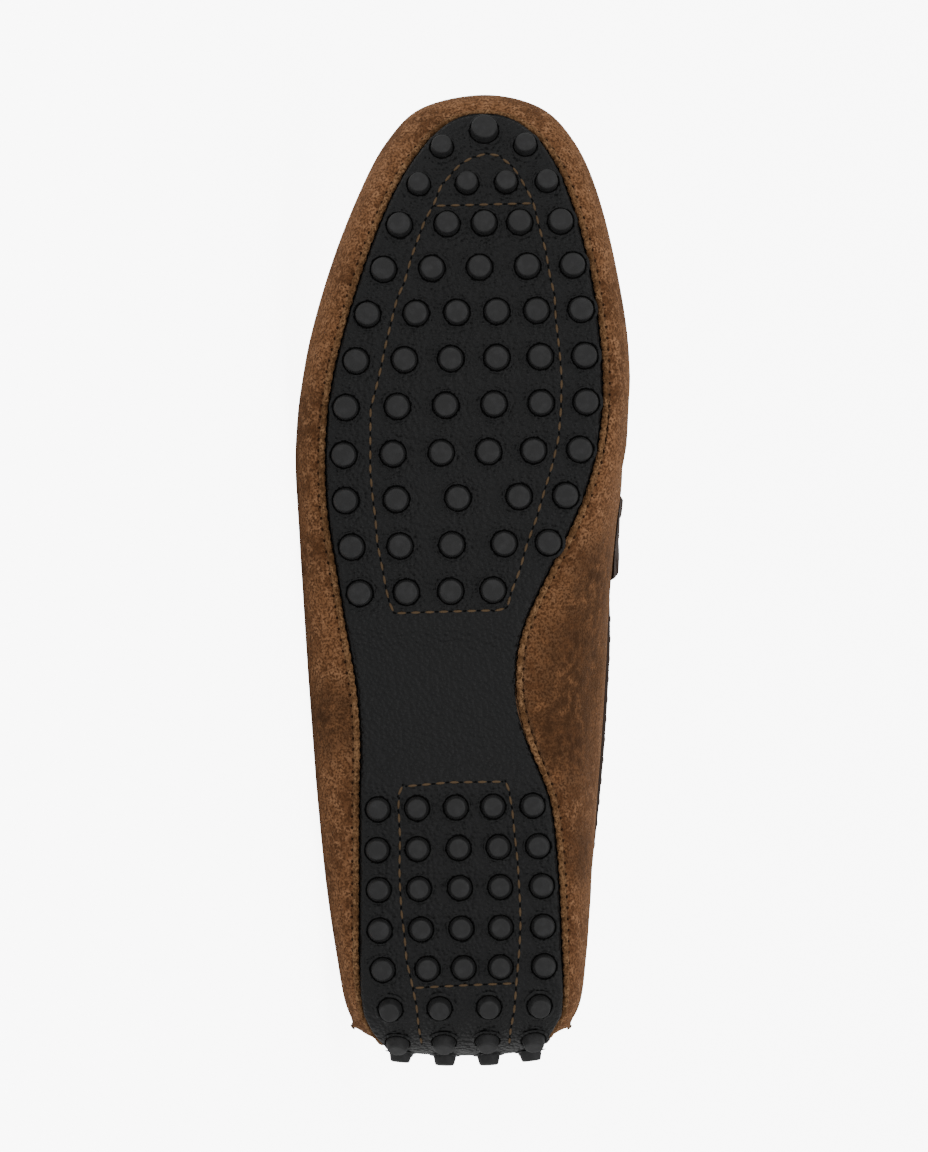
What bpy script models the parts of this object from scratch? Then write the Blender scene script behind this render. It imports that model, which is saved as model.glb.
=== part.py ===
"""Driving moccasin, right shoe, lying on its outer side.

Every piece is modelled in the shoe's own frame, in millimetres: x to the outer (lateral) side,
y from the heel to the toe, z up from the plane of the stud tips. An empty then lays the whole
shoe on its outer side, in metres.
"""

import math
from collections import namedtuple

import bmesh
import bpy
from mathutils import Matrix, Vector
from mathutils.bvhtree import BVHTree

MM = 0.001

# Thicknesses and gaps
SUEDE = 1.8            # wall of the upper
LEATHER = 1.4          # outsole leather
RUBBER = 1.0           # plate that carries the studs
GAP = 0.3              # between one piece and the next
STUD_HEIGHT = 3.0      # from the outsole leather to the stud tip
STACK = LEATHER + RUBBER + 2 * GAP     # outsole leather's outer face to the tub

# The sole's long profile
SPRING_START = 181.0   # y where the toe spring begins
SPRING_LENGTH = 99.0   # from there to the sole's tip
SPRING_HEIGHT = 16.0   # rise of the sole's tip
SPRING_POWER = 3.6
TAB_TOP = 43.0         # top of the heel tab
TAB_WIDTH = 22.5       # half its width
TAB_SHOULDER = 26.0    # height where the tab leaves the sole's corners
CUT_FALL = 0.055       # slope of the cutters' top, which passes under the toe
PLATE_INSET = 1.2      # the rubber plates stop this far inside the leather's edge
HEEL_PLATE_FRONT = 78.5
FORE_PLATE_BACK = 133.5
WAIST_BACK = 92.0      # between these two the leather lies straight on the tub
WAIST_FRONT = 120.0

# How the shoe lies: roll past upright on its side, then the drop of the heel, in degrees
ROLL_PAST = 9.0
HEEL_DROP = 3.7
SINK = 0.45            # depth of the flat that its weight presses into the upper

Section = namedtuple("Section", "y lateral medial z_lateral z_medial")
Outline = namedtuple("Outline", "y lateral medial")

# The widest line of the upper, from the back of the heel to the tip of the toe
EDGE = [Section(*row) for row in (
    (3.0, 0.0, 0.0, 25.0, 25.0),
    (3.7, 15.0, -14.0, 25.0, 25.0),
    (6.2, 28.4, -26.6, 24.0, 24.0),
    (14.0, 34.4, -34.2, 22.0, 22.5),
    (30.0, 37.6, -36.8, 20.0, 23.0),
    (52.0, 40.8, -38.4, 19.0, 28.0),
    (80.0, 43.6, -40.4, 19.0, 36.0),
    (106.0, 45.6, -42.3, 19.0, 40.0),
    (130.0, 47.3, -43.4, 19.0, 38.0),
    (154.0, 48.8, -45.2, 19.5, 31.0),
    (182.0, 49.8, -48.6, 20.0, 25.0),
    (209.0, 46.5, -49.5, 21.0, 22.5),
    (235.0, 39.5, -45.7, 23.0, 23.5),
    (258.0, 30.6, -39.9, 26.0, 26.0),
    (273.0, 22.5, -33.0, 28.5, 28.5),
    (283.0, 12.0, -23.0, 30.5, 30.5),
    (286.8, -6.6, -6.6, 31.0, 31.0),
)]

# Where the flat underside of the tub begins to turn up, in the same sections
TURN = [Outline(*row) for row in (
    (22.0, 0.0, 0.0),
    (22.3, 11.0, -11.0),
    (24.0, 21.5, -21.0),
    (29.0, 28.0, -27.5),
    (38.0, 31.8, -30.5),
    (56.0, 32.2, -30.0),
    (80.0, 32.1, -26.6),
    (106.0, 32.6, -17.2),
    (130.0, 36.2, -19.6),
    (154.0, 40.8, -31.6),
    (182.0, 42.2, -42.2),
    (208.0, 38.6, -42.6),
    (233.0, 31.5, -39.0),
    (254.0, 23.6, -34.0),
    (268.0, 15.5, -28.1),
    (277.5, 6.5, -19.0),
    (281.3, -6.0, -6.0),
)]

# The top edge of the tub, in the same sections: the collar, then the apron's seam
TOP = [Section(*row) for row in (
    (8.5, 0.0, 0.0, 58.0, 58.0),
    (9.4, 12.0, -12.0, 57.6, 57.6),
    (13.0, 23.0, -22.5, 56.2, 56.2),
    (21.0, 29.3, -29.8, 54.2, 54.2),
    (36.0, 31.4, -34.5, 51.8, 51.8),
    (57.0, 34.2, -37.8, 49.8, 50.0),
    (82.0, 36.0, -40.8, 49.2, 49.6),
    (106.0, 37.4, -42.6, 49.8, 50.4),
    (130.0, 38.0, -43.4, 51.6, 52.4),
    (154.0, 35.2, -40.8, 52.6, 53.2),
    (180.0, 32.2, -37.0, 49.6, 50.0),
    (204.0, 28.6, -34.0, 47.0, 47.2),
    (228.0, 22.6, -31.0, 45.0, 45.2),
    (245.0, 16.4, -27.6, 43.8, 44.0),
    (257.0, 9.4, -23.0, 43.0, 43.0),
    (264.5, 1.0, -15.4, 42.4, 42.4),
    (266.8, -7.2, -7.2, 42.2, 42.2),
)]

# The outsole's outline; its first rows run out behind the heel, past the tab
SOLE = [Outline(*row) for row in (
    (-9.0, 21.4, -21.6),
    (1.2, 22.5, -22.8),
    (3.6, 25.6, -24.8),
    (7.7, 28.8, -28.8),
    (16.7, 29.8, -29.6),
    (34.6, 30.7, -29.2),
    (57.0, 30.6, -28.2),
    (72.0, 30.6, -26.8),
    (80.0, 30.6, -25.1),
    (88.2, 30.3, -21.2),
    (95.4, 30.3, -18.3),
    (104.9, 30.9, -15.9),
    (114.0, 32.0, -15.4),
    (125.2, 34.2, -16.7),
    (134.4, 35.7, -20.4),
    (146.3, 37.6, -26.4),
    (159.7, 40.0, -33.2),
    (173.1, 40.8, -38.2),
    (186.5, 40.5, -40.8),
    (200.0, 39.0, -41.5),
    (213.4, 35.8, -40.6),
    (226.8, 31.9, -39.0),
    (240.2, 27.4, -36.1),
    (249.1, 23.9, -33.7),
    (258.1, 19.9, -30.7),
    (267.0, 14.5, -26.7),
    (271.5, 11.0, -23.5),
    (275.9, 6.2, -18.8),
    (278.6, 1.4, -13.6),
    (279.8, -6.0, -6.0),
)]

# The studs, a row for each row of them: distance from the heel, then each stud's x. Rows on the
# upright part of the heel tab are placed by their height instead.
StudRow = namedtuple("StudRow", "y xs")
ROW_SLANT = -0.0235    # the rows run slightly forward to the inner side
FORE_ROWS = [StudRow(*row) for row in (
    (270.3, (6.3, -18.5)),
    (259.3, (13.1, -1.2, -12.8, -24.9)),
    (247.3, (18.8, 4.7, -6.3, -16.8, -28.9)),
    (234.2, (23.5, 9.2, -4.9, -19.1, -32.5)),
    (221.0, (28.2, 13.9, 1.8, -10.0, -21.8, -34.9)),
    (207.3, (31.6, 17.3, 3.6, -10.0, -22.9, -36.0)),
    (193.6, (34.6, 19.4, 5.1, -9.2, -23.1, -36.4)),
    (179.6, (35.2, 20.7, 6.4, -7.6, -20.9, -34.6)),
    (166.1, (34.7, 19.7, 1.5, -16.6, -30.4)),
    (152.3, (32.9, 18.6, 3.3, -12.2, -25.3)),
    (138.6, (30.5, 16.7, 3.6, -8.9)),
)]
TIP_STUD = (-6.3, 275.3)
HEEL_ROWS = [StudRow(*row) for row in (
    (74.6, (25.1, 13.6, 2.1, -8.9, -20.6)),
    (62.6, (25.3, 13.4, 1.3, -10.5, -22.2)),
    (50.8, (24.9, 13.0, 0.9, -11.0, -23.3)),
    (38.8, (24.6, 12.4, 0.5, -11.2, -23.7)),
    (27.1, (23.7, 10.5, -0.2, -11.1, -24.0)),
    (15.3, (21.5, 6.9, -7.7, -22.6)),
    (5.0, (19.4, 5.6, -7.2, -20.9)),
)]
TAB_ROWS = [StudRow(*row) for row in (
    (23.0, (18.5, 5.4, -7.6, -20.0)),
    (35.0, (17.5, 5.2, -7.4, -19.0)),
)]

# Studs: radius at the leather and at the tip, and the hole in the leather
Stud = namedtuple("Stud", "base tip hole")
FORE_STUD = Stud(3.7, 3.3, 4.1)
SMALL_STUD = Stud(3.3, 3.0, 3.7)
LARGE_STUD = Stud(4.1, 3.8, 4.5)
HEEL_STUD = Stud(3.5, 2.9, 3.9)
STUD_SIDES = 7

# The upper's sections from the turn (0) over the widest line (1) to the top edge (2)
TUB_LEVELS = (0.0, 0.42, 0.75, 1.0, 1.14, 1.42, 1.71, 2.0)
SOLE_LEVELS = TUB_LEVELS[:-1]
COLLAR_BOW = 1.3       # how late the wall leans in, at the collar and at the toes
TOE_BOW = 2.0
THROAT = 8.5           # the section, counted along the tables, where the opening ends
CROWN = 12.5           # rise of the apron above its seam at the throat
CROWN_POWER = 0.8
APRON_COLUMNS = 6
SEAM_WIDTH = 2.6       # the raised seam round the apron
SEAM_HEIGHT = 1.9
SEAM_FADE = (161.0, 176.0)    # the seam is flattened under the strap
HEEL_SEAM = 2.5        # section of the raised seams beside the heel tab
HEEL_SEAM_HALF = 0.16
STRAIGHT = (4.5, 5.5, 6.5)    # half sections left out where the sides run straight
HEEL_SEAM_HEIGHT = 1.4

INSOLE = 2.2
TONGUE = 2.0
STRAP = 1.4
STRAP_GAP = 0.7        # it bridges the seam under it
BRAID = 0.8            # how far its strips stand up
BRAID_SPLIT = 2
LATERAL_END = (6, 7)   # the tub's levels that the strap covers on each side
MEDIAL_END = (7, 6, 5)
BINDING = 1.1
BINDING_LEAF = 4.0     # how far it comes down on both faces
FOLD_GAP = 0.55       # inside its fold
BINDING_END = 0.6     # how far it runs into the last half section before the strap

SECTIONS = len(EDGE) - 1
RING = 2 * SECTIONS    # sections all the way round


def smooth(value, low, high):
    """0 below low, 1 above high, and a soft step between."""
    t = min(max((value - low) / (high - low), 0.0), 1.0)
    return t * t * (3 - 2 * t)


def ring_points(rows):
    """The rows' points all the way round: up the lateral side and back down the medial side."""
    def point(row, side):
        return Vector((getattr(row, side), row.y, getattr(row, "z_" + side, 0.0)))
    lateral = [point(row, "lateral") for row in rows]
    medial = [point(row, "medial") for row in rows[-2:0:-1]]
    return lateral + medial


def on_ring(points, u):
    """A point on the smooth closed curve through the points, u counted in points."""
    i = math.floor(u)
    t = u - i
    a, b, c, d = (points[(i + k) % len(points)] for k in (-1, 0, 1, 2))
    return 0.5 * (2 * b + (c - a) * t + (2 * a - 5 * b + 4 * c - d) * t ** 2
                  + (3 * b - a - 3 * c + d) * t ** 3)


EDGE_RING = ring_points(EDGE)
TURN_RING = ring_points(TURN)
TOP_RING = ring_points(TOP)


def spring(y):
    """Rise of the sole's underside at y, and its slope."""
    t = max(y - SPRING_START, 0.0) / SPRING_LENGTH
    rise = SPRING_HEIGHT * t ** SPRING_POWER
    slope = SPRING_POWER * SPRING_HEIGHT / SPRING_LENGTH * t ** (SPRING_POWER - 1)
    return rise, slope


def tub_floor(y):
    """Height of the tub's underside."""
    return STUD_HEIGHT + STACK + spring(y)[0]


def tub_point(u, v, grow=0.0):
    """A point of the tub's outer face, moved out by grow: v runs from the turn to the top."""
    turn = on_ring(TURN_RING, u)
    edge = on_ring(EDGE_RING, u)
    top = on_ring(TOP_RING, u)
    across = Vector((edge.x - turn.x, edge.y - turn.y, 0.0))
    out = across.normalized()
    if v <= 1:
        reach = across.length + grow
        slope = spring(turn.y)[1] * out.y
        low = tub_floor(turn.y) - grow
        centre = edge.z - reach * slope
        angle = v * math.pi / 2
        z = centre + (low - centre) * math.cos(angle) + reach * slope * math.sin(angle)
        return Vector((turn.x, turn.y, z)) + out * reach * math.sin(angle)
    w = v - 1
    nearness = abs(u - SECTIONS) if u <= RING else 0.0
    bow = COLLAR_BOW + (TOE_BOW - COLLAR_BOW) * smooth(SECTIONS - nearness, 8.5, 11.0)
    point = edge + out * grow
    point.x += (top.x - edge.x) * w ** bow
    point.y += (top.y - edge.y) * w ** bow
    point.z += (top.z - edge.z) * w
    return point


def collection(name):
    made = bpy.data.collections.new(name)
    bpy.context.scene.collection.children.link(made)
    return made


def material(name, colour, roughness):
    made = bpy.data.materials.new(name)
    made.use_nodes = True
    shader = made.node_tree.nodes["Principled BSDF"]
    shader.inputs["Base Color"].default_value = (*colour, 1.0)
    shader.inputs["Roughness"].default_value = roughness
    shader.inputs["Metallic"].default_value = 0.0
    return made


def mesh_object(name, points, faces, home):
    """A new object from points in millimetres; its faces are turned outwards."""
    mesh = bpy.data.meshes.new(name)
    mesh.from_pydata([point * MM for point in points], [], faces)
    made = bpy.data.objects.new(name, mesh)
    home.objects.link(made)
    shell = bmesh.new()
    shell.from_mesh(mesh)
    bmesh.ops.recalc_face_normals(shell, faces=shell.faces)
    shell.to_mesh(mesh)
    shell.free()
    return made


def frozen(made):
    """Apply the object's modifiers and keep the result as its mesh."""
    graph = bpy.context.evaluated_depsgraph_get()
    mesh = bpy.data.meshes.new_from_object(made.evaluated_get(graph))
    made.modifiers.clear()
    made.data = mesh
    return made


def merge_flats(made, degrees=0.8):
    """Join faces that lie in one plane."""
    mesh = bmesh.new()
    mesh.from_mesh(made.data)
    bmesh.ops.dissolve_limit(mesh, angle_limit=math.radians(degrees), verts=mesh.verts,
                             edges=mesh.edges)
    mesh.to_mesh(made.data)
    mesh.free()


def finish(made, name, surface, sharp_degrees=35):
    """Name, material and shading of a finished piece."""
    made.name = name
    made.data.materials.clear()
    made.data.materials.append(surface)
    made.data.shade_smooth()
    made.data.set_sharp_from_angle(angle=math.radians(sharp_degrees))
    made.parent = LYING
    return made


def boolean(target, cutter, operation):
    """Cut or join the target at once, and hide the cutter."""
    cut = target.modifiers.new(operation.lower(), "BOOLEAN")
    cut.object = cutter
    cut.operation = operation
    cut.solver = "EXACT"
    frozen(target)
    cutter.hide_render = True
    cutter.display_type = "WIRE"


def bridge(low, high):
    """Quads between two closed rings of point numbers."""
    count = len(low)
    return [(low[i], low[(i + 1) % count], high[(i + 1) % count], high[i])
            for i in range(count)]


def underside(ring):
    """Triangles across the sole between the lateral and medial halves of a ring."""
    half = len(ring) // 2
    faces = [(ring[1], ring[0], ring[-1])]
    for i in range(1, half - 1):
        a, b, c, d = ring[i], ring[i + 1], ring[-i - 1], ring[-i]
        faces += [(a, b, c), (a, c, d)]
    faces.append((ring[half - 1], ring[half], ring[half + 1]))
    return faces


def layer(name, inner, outer, levels, home):
    """A closed sheet that follows the tub, between two distances from its outer face.

    inner and outer give the distance for a section's y.
    """
    stations = tub_stations()
    points = []
    faces = []
    rims = []
    for distance in (inner, outer):
        rings = []
        for level in levels:
            rings.append(range(len(points), len(points) + len(stations)))
            for u in stations:
                grow = distance(on_ring(TURN_RING, u).y)
                points.append(tub_point(u, level, grow))
        faces += underside(rings[0])
        for low, high in zip(rings, rings[1:]):
            faces += bridge(low, high)
        rims.append(rings[-1])
    faces += bridge(*rims)
    return mesh_object(name, points, faces, home)


def prism(name, outline, high):
    """A cutter: a flat outline raised from below the floor to a height that falls to the toe."""
    count = len(outline)
    points = [Vector((x, y, -10.0)) for x, y in outline]
    points += [Vector((x, y, high - CUT_FALL * y)) for x, y in outline]
    faces = [tuple(range(count)), tuple(range(2 * count - 1, count - 1, -1))]
    faces += bridge(range(count), range(count, 2 * count))
    return mesh_object(name, points, faces, CUTTERS)


def front_mask(name, inset):
    """A cutter with the sole's and the heel tab's shape as seen from behind."""
    half = [(60.0, -10.0), (60.0, TAB_SHOULDER), (TAB_WIDTH + 1.5 - inset, TAB_SHOULDER),
            (TAB_WIDTH - 1.0 - inset, TAB_TOP - 5.0 - inset), (TAB_WIDTH - 6.0, TAB_TOP - inset)]
    outline = half + [(-x, z) for x, z in reversed(half)]
    count = len(outline)
    points = [Vector((x, y, z)) for y in (-20.0, 320.0) for x, z in outline]
    faces = [tuple(range(count)), tuple(range(2 * count - 1, count - 1, -1))]
    faces += bridge(range(count), range(count, 2 * count))
    return mesh_object(name, points, faces, CUTTERS)


def sole_outline(inset):
    """The outsole's outline as points, moved in by inset."""
    lateral = [Vector((row.lateral, row.y)) for row in SOLE]
    medial = [Vector((row.medial, row.y)) for row in SOLE[-2::-1]]
    points = lateral + medial
    count = len(points)
    moved = []
    for i, point in enumerate(points):
        along = (points[(i + 1) % count] - points[i - 1]).normalized()
        moved.append(point + Vector((-along.y, along.x)) * inset)
    return moved


def clipped(outline, y_cut, keep_front):
    """The part of an outline in front of y_cut, or behind it."""
    sign = 1 if keep_front else -1
    kept = []
    for i, here in enumerate(outline):
        before = outline[i - 1]
        inside = (here.y - y_cut) * sign > 0
        was_inside = (before.y - y_cut) * sign > 0
        if inside != was_inside:
            t = (y_cut - before.y) / (here.y - before.y)
            kept.append(before.lerp(here, t))
        if inside:
            kept.append(here)
    return kept


def sheet_distance(thickness_below):
    """Distance of the outsole leather from the tub: out over the plates, in at the waist."""
    def distance(y):
        over_plate = 1 - smooth(y, HEEL_PLATE_FRONT + 2, WAIST_BACK) \
            * (1 - smooth(y, WAIST_FRONT, FORE_PLATE_BACK - 4))
        return GAP + (RUBBER + GAP) * over_plate + thickness_below
    return distance


def stud_seats(skin):
    """Where each stud stands on the outsole's outer face: point, direction, stud."""
    mesh = skin.data
    tree = BVHTree.FromPolygons([v.co / MM for v in mesh.vertices],
                                [tuple(p.vertices) for p in mesh.polygons])
    fore = []
    heel = []

    def seat(origin, direction, stud, group):
        hit, normal, _, _ = tree.ray_cast(Vector(origin), Vector(direction))
        if normal.dot(Vector(direction)) > 0:
            normal = -normal
        group.append((hit, normal, stud))

    up = (0, 0, 1)
    forward = (0, 1, 0)
    seat((TIP_STUD[0], TIP_STUD[1], -50), up, LARGE_STUD, fore)
    for number, row in enumerate(FORE_ROWS):
        stud = SMALL_STUD if number < 2 else FORE_STUD
        for x in row.xs:
            seat((x, row.y + ROW_SLANT * x, -50), up, stud, fore)
    for row in HEEL_ROWS:
        for x in row.xs:
            seat((x, row.y + ROW_SLANT * x, -50), up, HEEL_STUD, heel)
    for row in TAB_ROWS:
        for x in row.xs:
            seat((x, -50, row.y), forward, HEEL_STUD, heel)
    return fore, heel


def studs(name, seats, start, end, hole=False):
    """Short round pegs on their seats, from start to end along each seat's own direction."""
    pegs = bmesh.new()
    for point, normal, stud in seats:
        base = stud.hole if hole else stud.base
        tip = stud.hole if hole else stud.tip
        middle = point + normal * (start + end) / 2
        place = Matrix.Translation(middle * MM) @ normal.to_track_quat("Z", "Y").to_matrix().to_4x4()
        bmesh.ops.create_cone(pegs, cap_ends=True, segments=STUD_SIDES, radius1=base * MM,
                              radius2=tip * MM, depth=(end - start) * MM, matrix=place)
    mesh = bpy.data.meshes.new(name)
    pegs.to_mesh(mesh)
    pegs.free()
    made = bpy.data.objects.new(name, mesh)
    CUTTERS.objects.link(made)
    return made


def outsole(seats):
    """Black leather with its stud holes, from the toe to the top of the heel tab."""
    skin = layer("outsole", sheet_distance(0.0), sheet_distance(LEATHER), SOLE_LEVELS, PARTS)
    boolean(skin, prism("outsole_outline", sole_outline(0.0), TAB_TOP + 5), "INTERSECT")
    boolean(skin, front_mask("outsole_mask", 0.0), "INTERSECT")
    merge_flats(skin)
    boolean(skin, studs("stud_holes", seats, -3.0, 3.0, hole=True), "DIFFERENCE")
    merge_flats(skin)
    return finish(skin, "outsole", material("black_leather", (0.012, 0.012, 0.013), 0.5))


def stud_plate(name, seats, y_cut, keep_front, surface):
    """A rubber plate between the tub and the outsole leather, with its studs."""
    plate = layer(name, lambda y: GAP, lambda y: GAP + RUBBER, SOLE_LEVELS, PARTS)
    outline = clipped(sole_outline(PLATE_INSET), y_cut, keep_front)
    boolean(plate, prism(name + "_outline", outline, TAB_TOP + 5), "INTERSECT")
    boolean(plate, front_mask(name + "_mask", PLATE_INSET), "INTERSECT")
    merge_flats(plate)
    root = -(LEATHER + GAP + RUBBER / 2)
    boolean(plate, studs(name + "_studs", seats, root, STUD_HEIGHT), "UNION")
    merge_flats(plate)
    return finish(plate, name, surface)


def front(u):
    """Whether the section lies in front of the throat."""
    return THROAT <= u <= RING - THROAT


def apron_point(left, right, t):
    """A point of the apron between its two edges, with its crown."""
    point = left.lerp(right, t)
    throat_y = on_ring(TOP_RING, THROAT).y
    toe_y = TOP[-1].y
    share = max(toe_y - point.y, 0.0) / (toe_y - throat_y)
    point.z += CROWN * share ** CROWN_POWER * 4 * t * (1 - t)
    return point


def tub_stations():
    """Sections round the tub, with narrow ones for the raised seams beside the heel tab."""
    heel_seams = (HEEL_SEAM - HEEL_SEAM_HALF, HEEL_SEAM + HEEL_SEAM_HALF)
    stations = [i / 2 for i in range(2 * RING)]
    stations = [u for u in stations if u not in STRAIGHT and RING - u not in STRAIGHT]
    stations += heel_seams
    stations += [RING - u for u in heel_seams]
    return sorted(stations)


def upper_surface():
    """The outer face of tub and apron, and where its main rows are."""
    stations = tub_stations()
    count = len(stations)
    points = []
    rings = []
    for level in TUB_LEVELS:
        rings.append([len(points) + i for i in range(count)])
        points += [tub_point(u, level) for u in stations]
    faces = underside(rings[0])
    for low, high in zip(rings, rings[1:]):
        faces += bridge(low, high)

    fronts = [i for i, u in enumerate(stations) if front(u)]
    top = rings[-1]
    crest = {}
    foot = {}
    for i in fronts:
        edge = points[top[i]]
        along = points[top[i + 1]] - points[top[i - 1]]
        inward = Vector((-along.y, along.x, 0.0)).normalized()
        mate = points[top[-i]]
        lift = 0.35 * SEAM_WIDTH if i != count // 2 else 0.1
        foot[i] = len(points) + 1
        crest[i] = len(points)
        landing = edge + inward * SEAM_WIDTH + Vector((0, 0, lift * (mate - edge).length / 80))
        points += [edge.lerp(landing, 0.5), landing]
    for i, j in zip(fronts, fronts[1:]):
        faces.append((top[i], top[j], crest[j], crest[i]))
        faces.append((crest[i], crest[j], foot[j], foot[i]))

    columns = {}
    toe = count // 2
    for i in fronts:
        if i >= toe:
            break
        left, right = foot[i], foot[count - i]
        inner = []
        for k in range(1, APRON_COLUMNS):
            inner.append(len(points))
            points.append(apron_point(points[left], points[right], k / APRON_COLUMNS))
        columns[i] = [left] + inner + [right]
    strips = sorted(columns)
    for i, j in zip(strips, strips[1:]):
        for k in range(APRON_COLUMNS):
            faces.append((columns[i][k], columns[j][k], columns[j][k + 1], columns[i][k + 1]))
    last = columns[strips[-1]]
    for k in range(APRON_COLUMNS):
        faces.append((last[k], foot[toe], last[k + 1]))
    return stations, points, faces, rings, crest, columns


def upper():
    """The suede tub with its apron: one hollow wall, open from the heel to the throat."""
    stations, points, faces, rings, crest, columns = upper_surface()
    shell = mesh_object("upper", points, faces, PARTS)
    mesh = shell.data
    lowest = min(mesh.polygons, key=lambda face: face.center.z)
    if lowest.normal.z > 0:
        mesh.flip_normals()
    normals = [vertex.normal.copy() for vertex in mesh.vertices]
    thicken = shell.modifiers.new("wall", "SOLIDIFY")
    thicken.thickness = SUEDE * MM
    thicken.offset = -1.0
    frozen(shell)
    vertices = shell.data.vertices
    for number in crest.values():
        rise = SEAM_HEIGHT * smooth(points[number].y, *SEAM_FADE)
        vertices[number].co += normals[number] * rise * MM
    for i, u in enumerate(stations):
        if u in (HEEL_SEAM, RING - HEEL_SEAM):
            for level, ring in zip(TUB_LEVELS, rings):
                rise = HEEL_SEAM_HEIGHT * smooth(level, 0.3, 0.75) * (1 - smooth(level, 1.7, 2.0))
                vertices[ring[i]].co += normals[ring[i]] * rise * MM
    press_flat(shell)
    finish(shell, "upper", material("brown_suede", (0.12, 0.055, 0.025), 0.95))
    return stations, points, normals, rings, columns


def press_flat(made):
    """Press what lies below the floor up onto it, as the shoe's weight does."""
    back = LYING_MATRIX.inverted()
    for vertex in made.data.vertices:
        world = LYING_MATRIX @ vertex.co
        if world.z < 0:
            world.z = 0.0
            vertex.co = back @ world


def insole(points, normals, rings):
    """The sock: it follows the tub's inner face underfoot and a little up its sides."""
    sheet = []
    faces = []
    rims = []
    count = len(rings[0])
    for depth in (SUEDE + GAP, SUEDE + GAP + INSOLE):
        start = len(sheet)
        for ring in rings[:2]:
            sheet += [points[i] - normals[i] * depth for i in ring]
        low = range(start, start + count)
        high = range(start + count, start + 2 * count)
        faces += underside(low) + bridge(low, high)
        rims.append(high)
    faces += bridge(*rims)
    sock = mesh_object("insole", sheet, faces, PARTS)
    return finish(sock, "insole", material("tan_sock", (0.2, 0.11, 0.05), 0.6))


def grid_faces(rows, columns, start=0):
    return [(start + r * columns + c, start + r * columns + c + 1,
             start + (r + 1) * columns + c + 1, start + (r + 1) * columns + c)
            for r in range(rows - 1) for c in range(columns - 1)]


def plate_between(name, low, high, rows, columns):
    """A closed sheet between two grids of points."""
    size = rows * columns
    faces = grid_faces(rows, columns) + grid_faces(rows, columns, size)
    border = [c for c in range(columns)]
    border += [r * columns + columns - 1 for r in range(1, rows)]
    border += [(rows - 1) * columns + c for c in range(columns - 2, -1, -1)]
    border += [r * columns for r in range(rows - 2, 0, -1)]
    faces += bridge(border, [number + size for number in border])
    return mesh_object(name, low + high, faces, PARTS)


def strap(stations, points, normals, rings, columns):
    """The braided saddle strap: a band across the apron, with its strips raised."""
    lines = []
    for u in (THROAT, THROAT + 0.5, THROAT + 1.0):
        i = stations.index(u)
        side = [rings[k][i] for k in LATERAL_END]
        other = [rings[k][len(stations) - i] for k in MEDIAL_END]
        lines.append(side + columns[i] + other)
    rows = len(lines)
    length = len(lines[0])
    fine_rows = (rows - 1) * BRAID_SPLIT + 1
    fine_length = (length - 1) * BRAID_SPLIT + 1
    low = []
    high = []
    for r in range(fine_rows):
        for c in range(fine_length):
            r0, c0 = min(r // BRAID_SPLIT, rows - 2), min(c // BRAID_SPLIT, length - 2)
            s, t = r / BRAID_SPLIT - r0, c / BRAID_SPLIT - c0

            def blend(source):
                near = source(lines[r0][c0]).lerp(source(lines[r0][c0 + 1]), t)
                far = source(lines[r0 + 1][c0]).lerp(source(lines[r0 + 1][c0 + 1]), t)
                return near.lerp(far, s)
            base = blend(lambda number: points[number])
            out = blend(lambda number: normals[number]).normalized()
            lump = BRAID if (r + c) % 2 == 0 else 0.0
            low.append(base + out * STRAP_GAP)
            high.append(base + out * (STRAP_GAP + STRAP + lump))
    band = plate_between("saddle_strap", low, high, fine_rows, fine_length)
    press_flat(band)
    return finish(band, "saddle_strap", material("dark_braid", (0.035, 0.018, 0.012), 0.6))


def tongue(points, normals, columns):
    """A short tongue that comes out from under the apron's rear edge."""
    throat = min(columns)
    second = sorted(columns)[1]
    inner = range(1, APRON_COLUMNS)
    drop = SUEDE + 2 * GAP
    rows = []
    for i in (second, throat):
        rows.append([points[columns[i][k]] - normals[columns[i][k]] * drop for k in inner])
    middle = rows[-1][len(rows[-1]) // 2]
    for back, rise, narrow in ((9.0, 1.6, 0.97), (18.0, 4.6, 0.88), (24.0, 7.4, 0.68)):
        row = []
        for point in rows[1]:
            side = middle.x + (point.x - middle.x) * narrow
            row.append(Vector((side, point.y - back, point.z + rise)))
        rows.append(row)
    high = [point for row in rows for point in row]
    low = [point - Vector((0, 0, TONGUE)) for point in high]
    flap = plate_between("tongue", low, high, len(rows), len(rows[0]))
    return finish(flap, "tongue", material("brown_lining", (0.09, 0.045, 0.022), 0.8))


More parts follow.
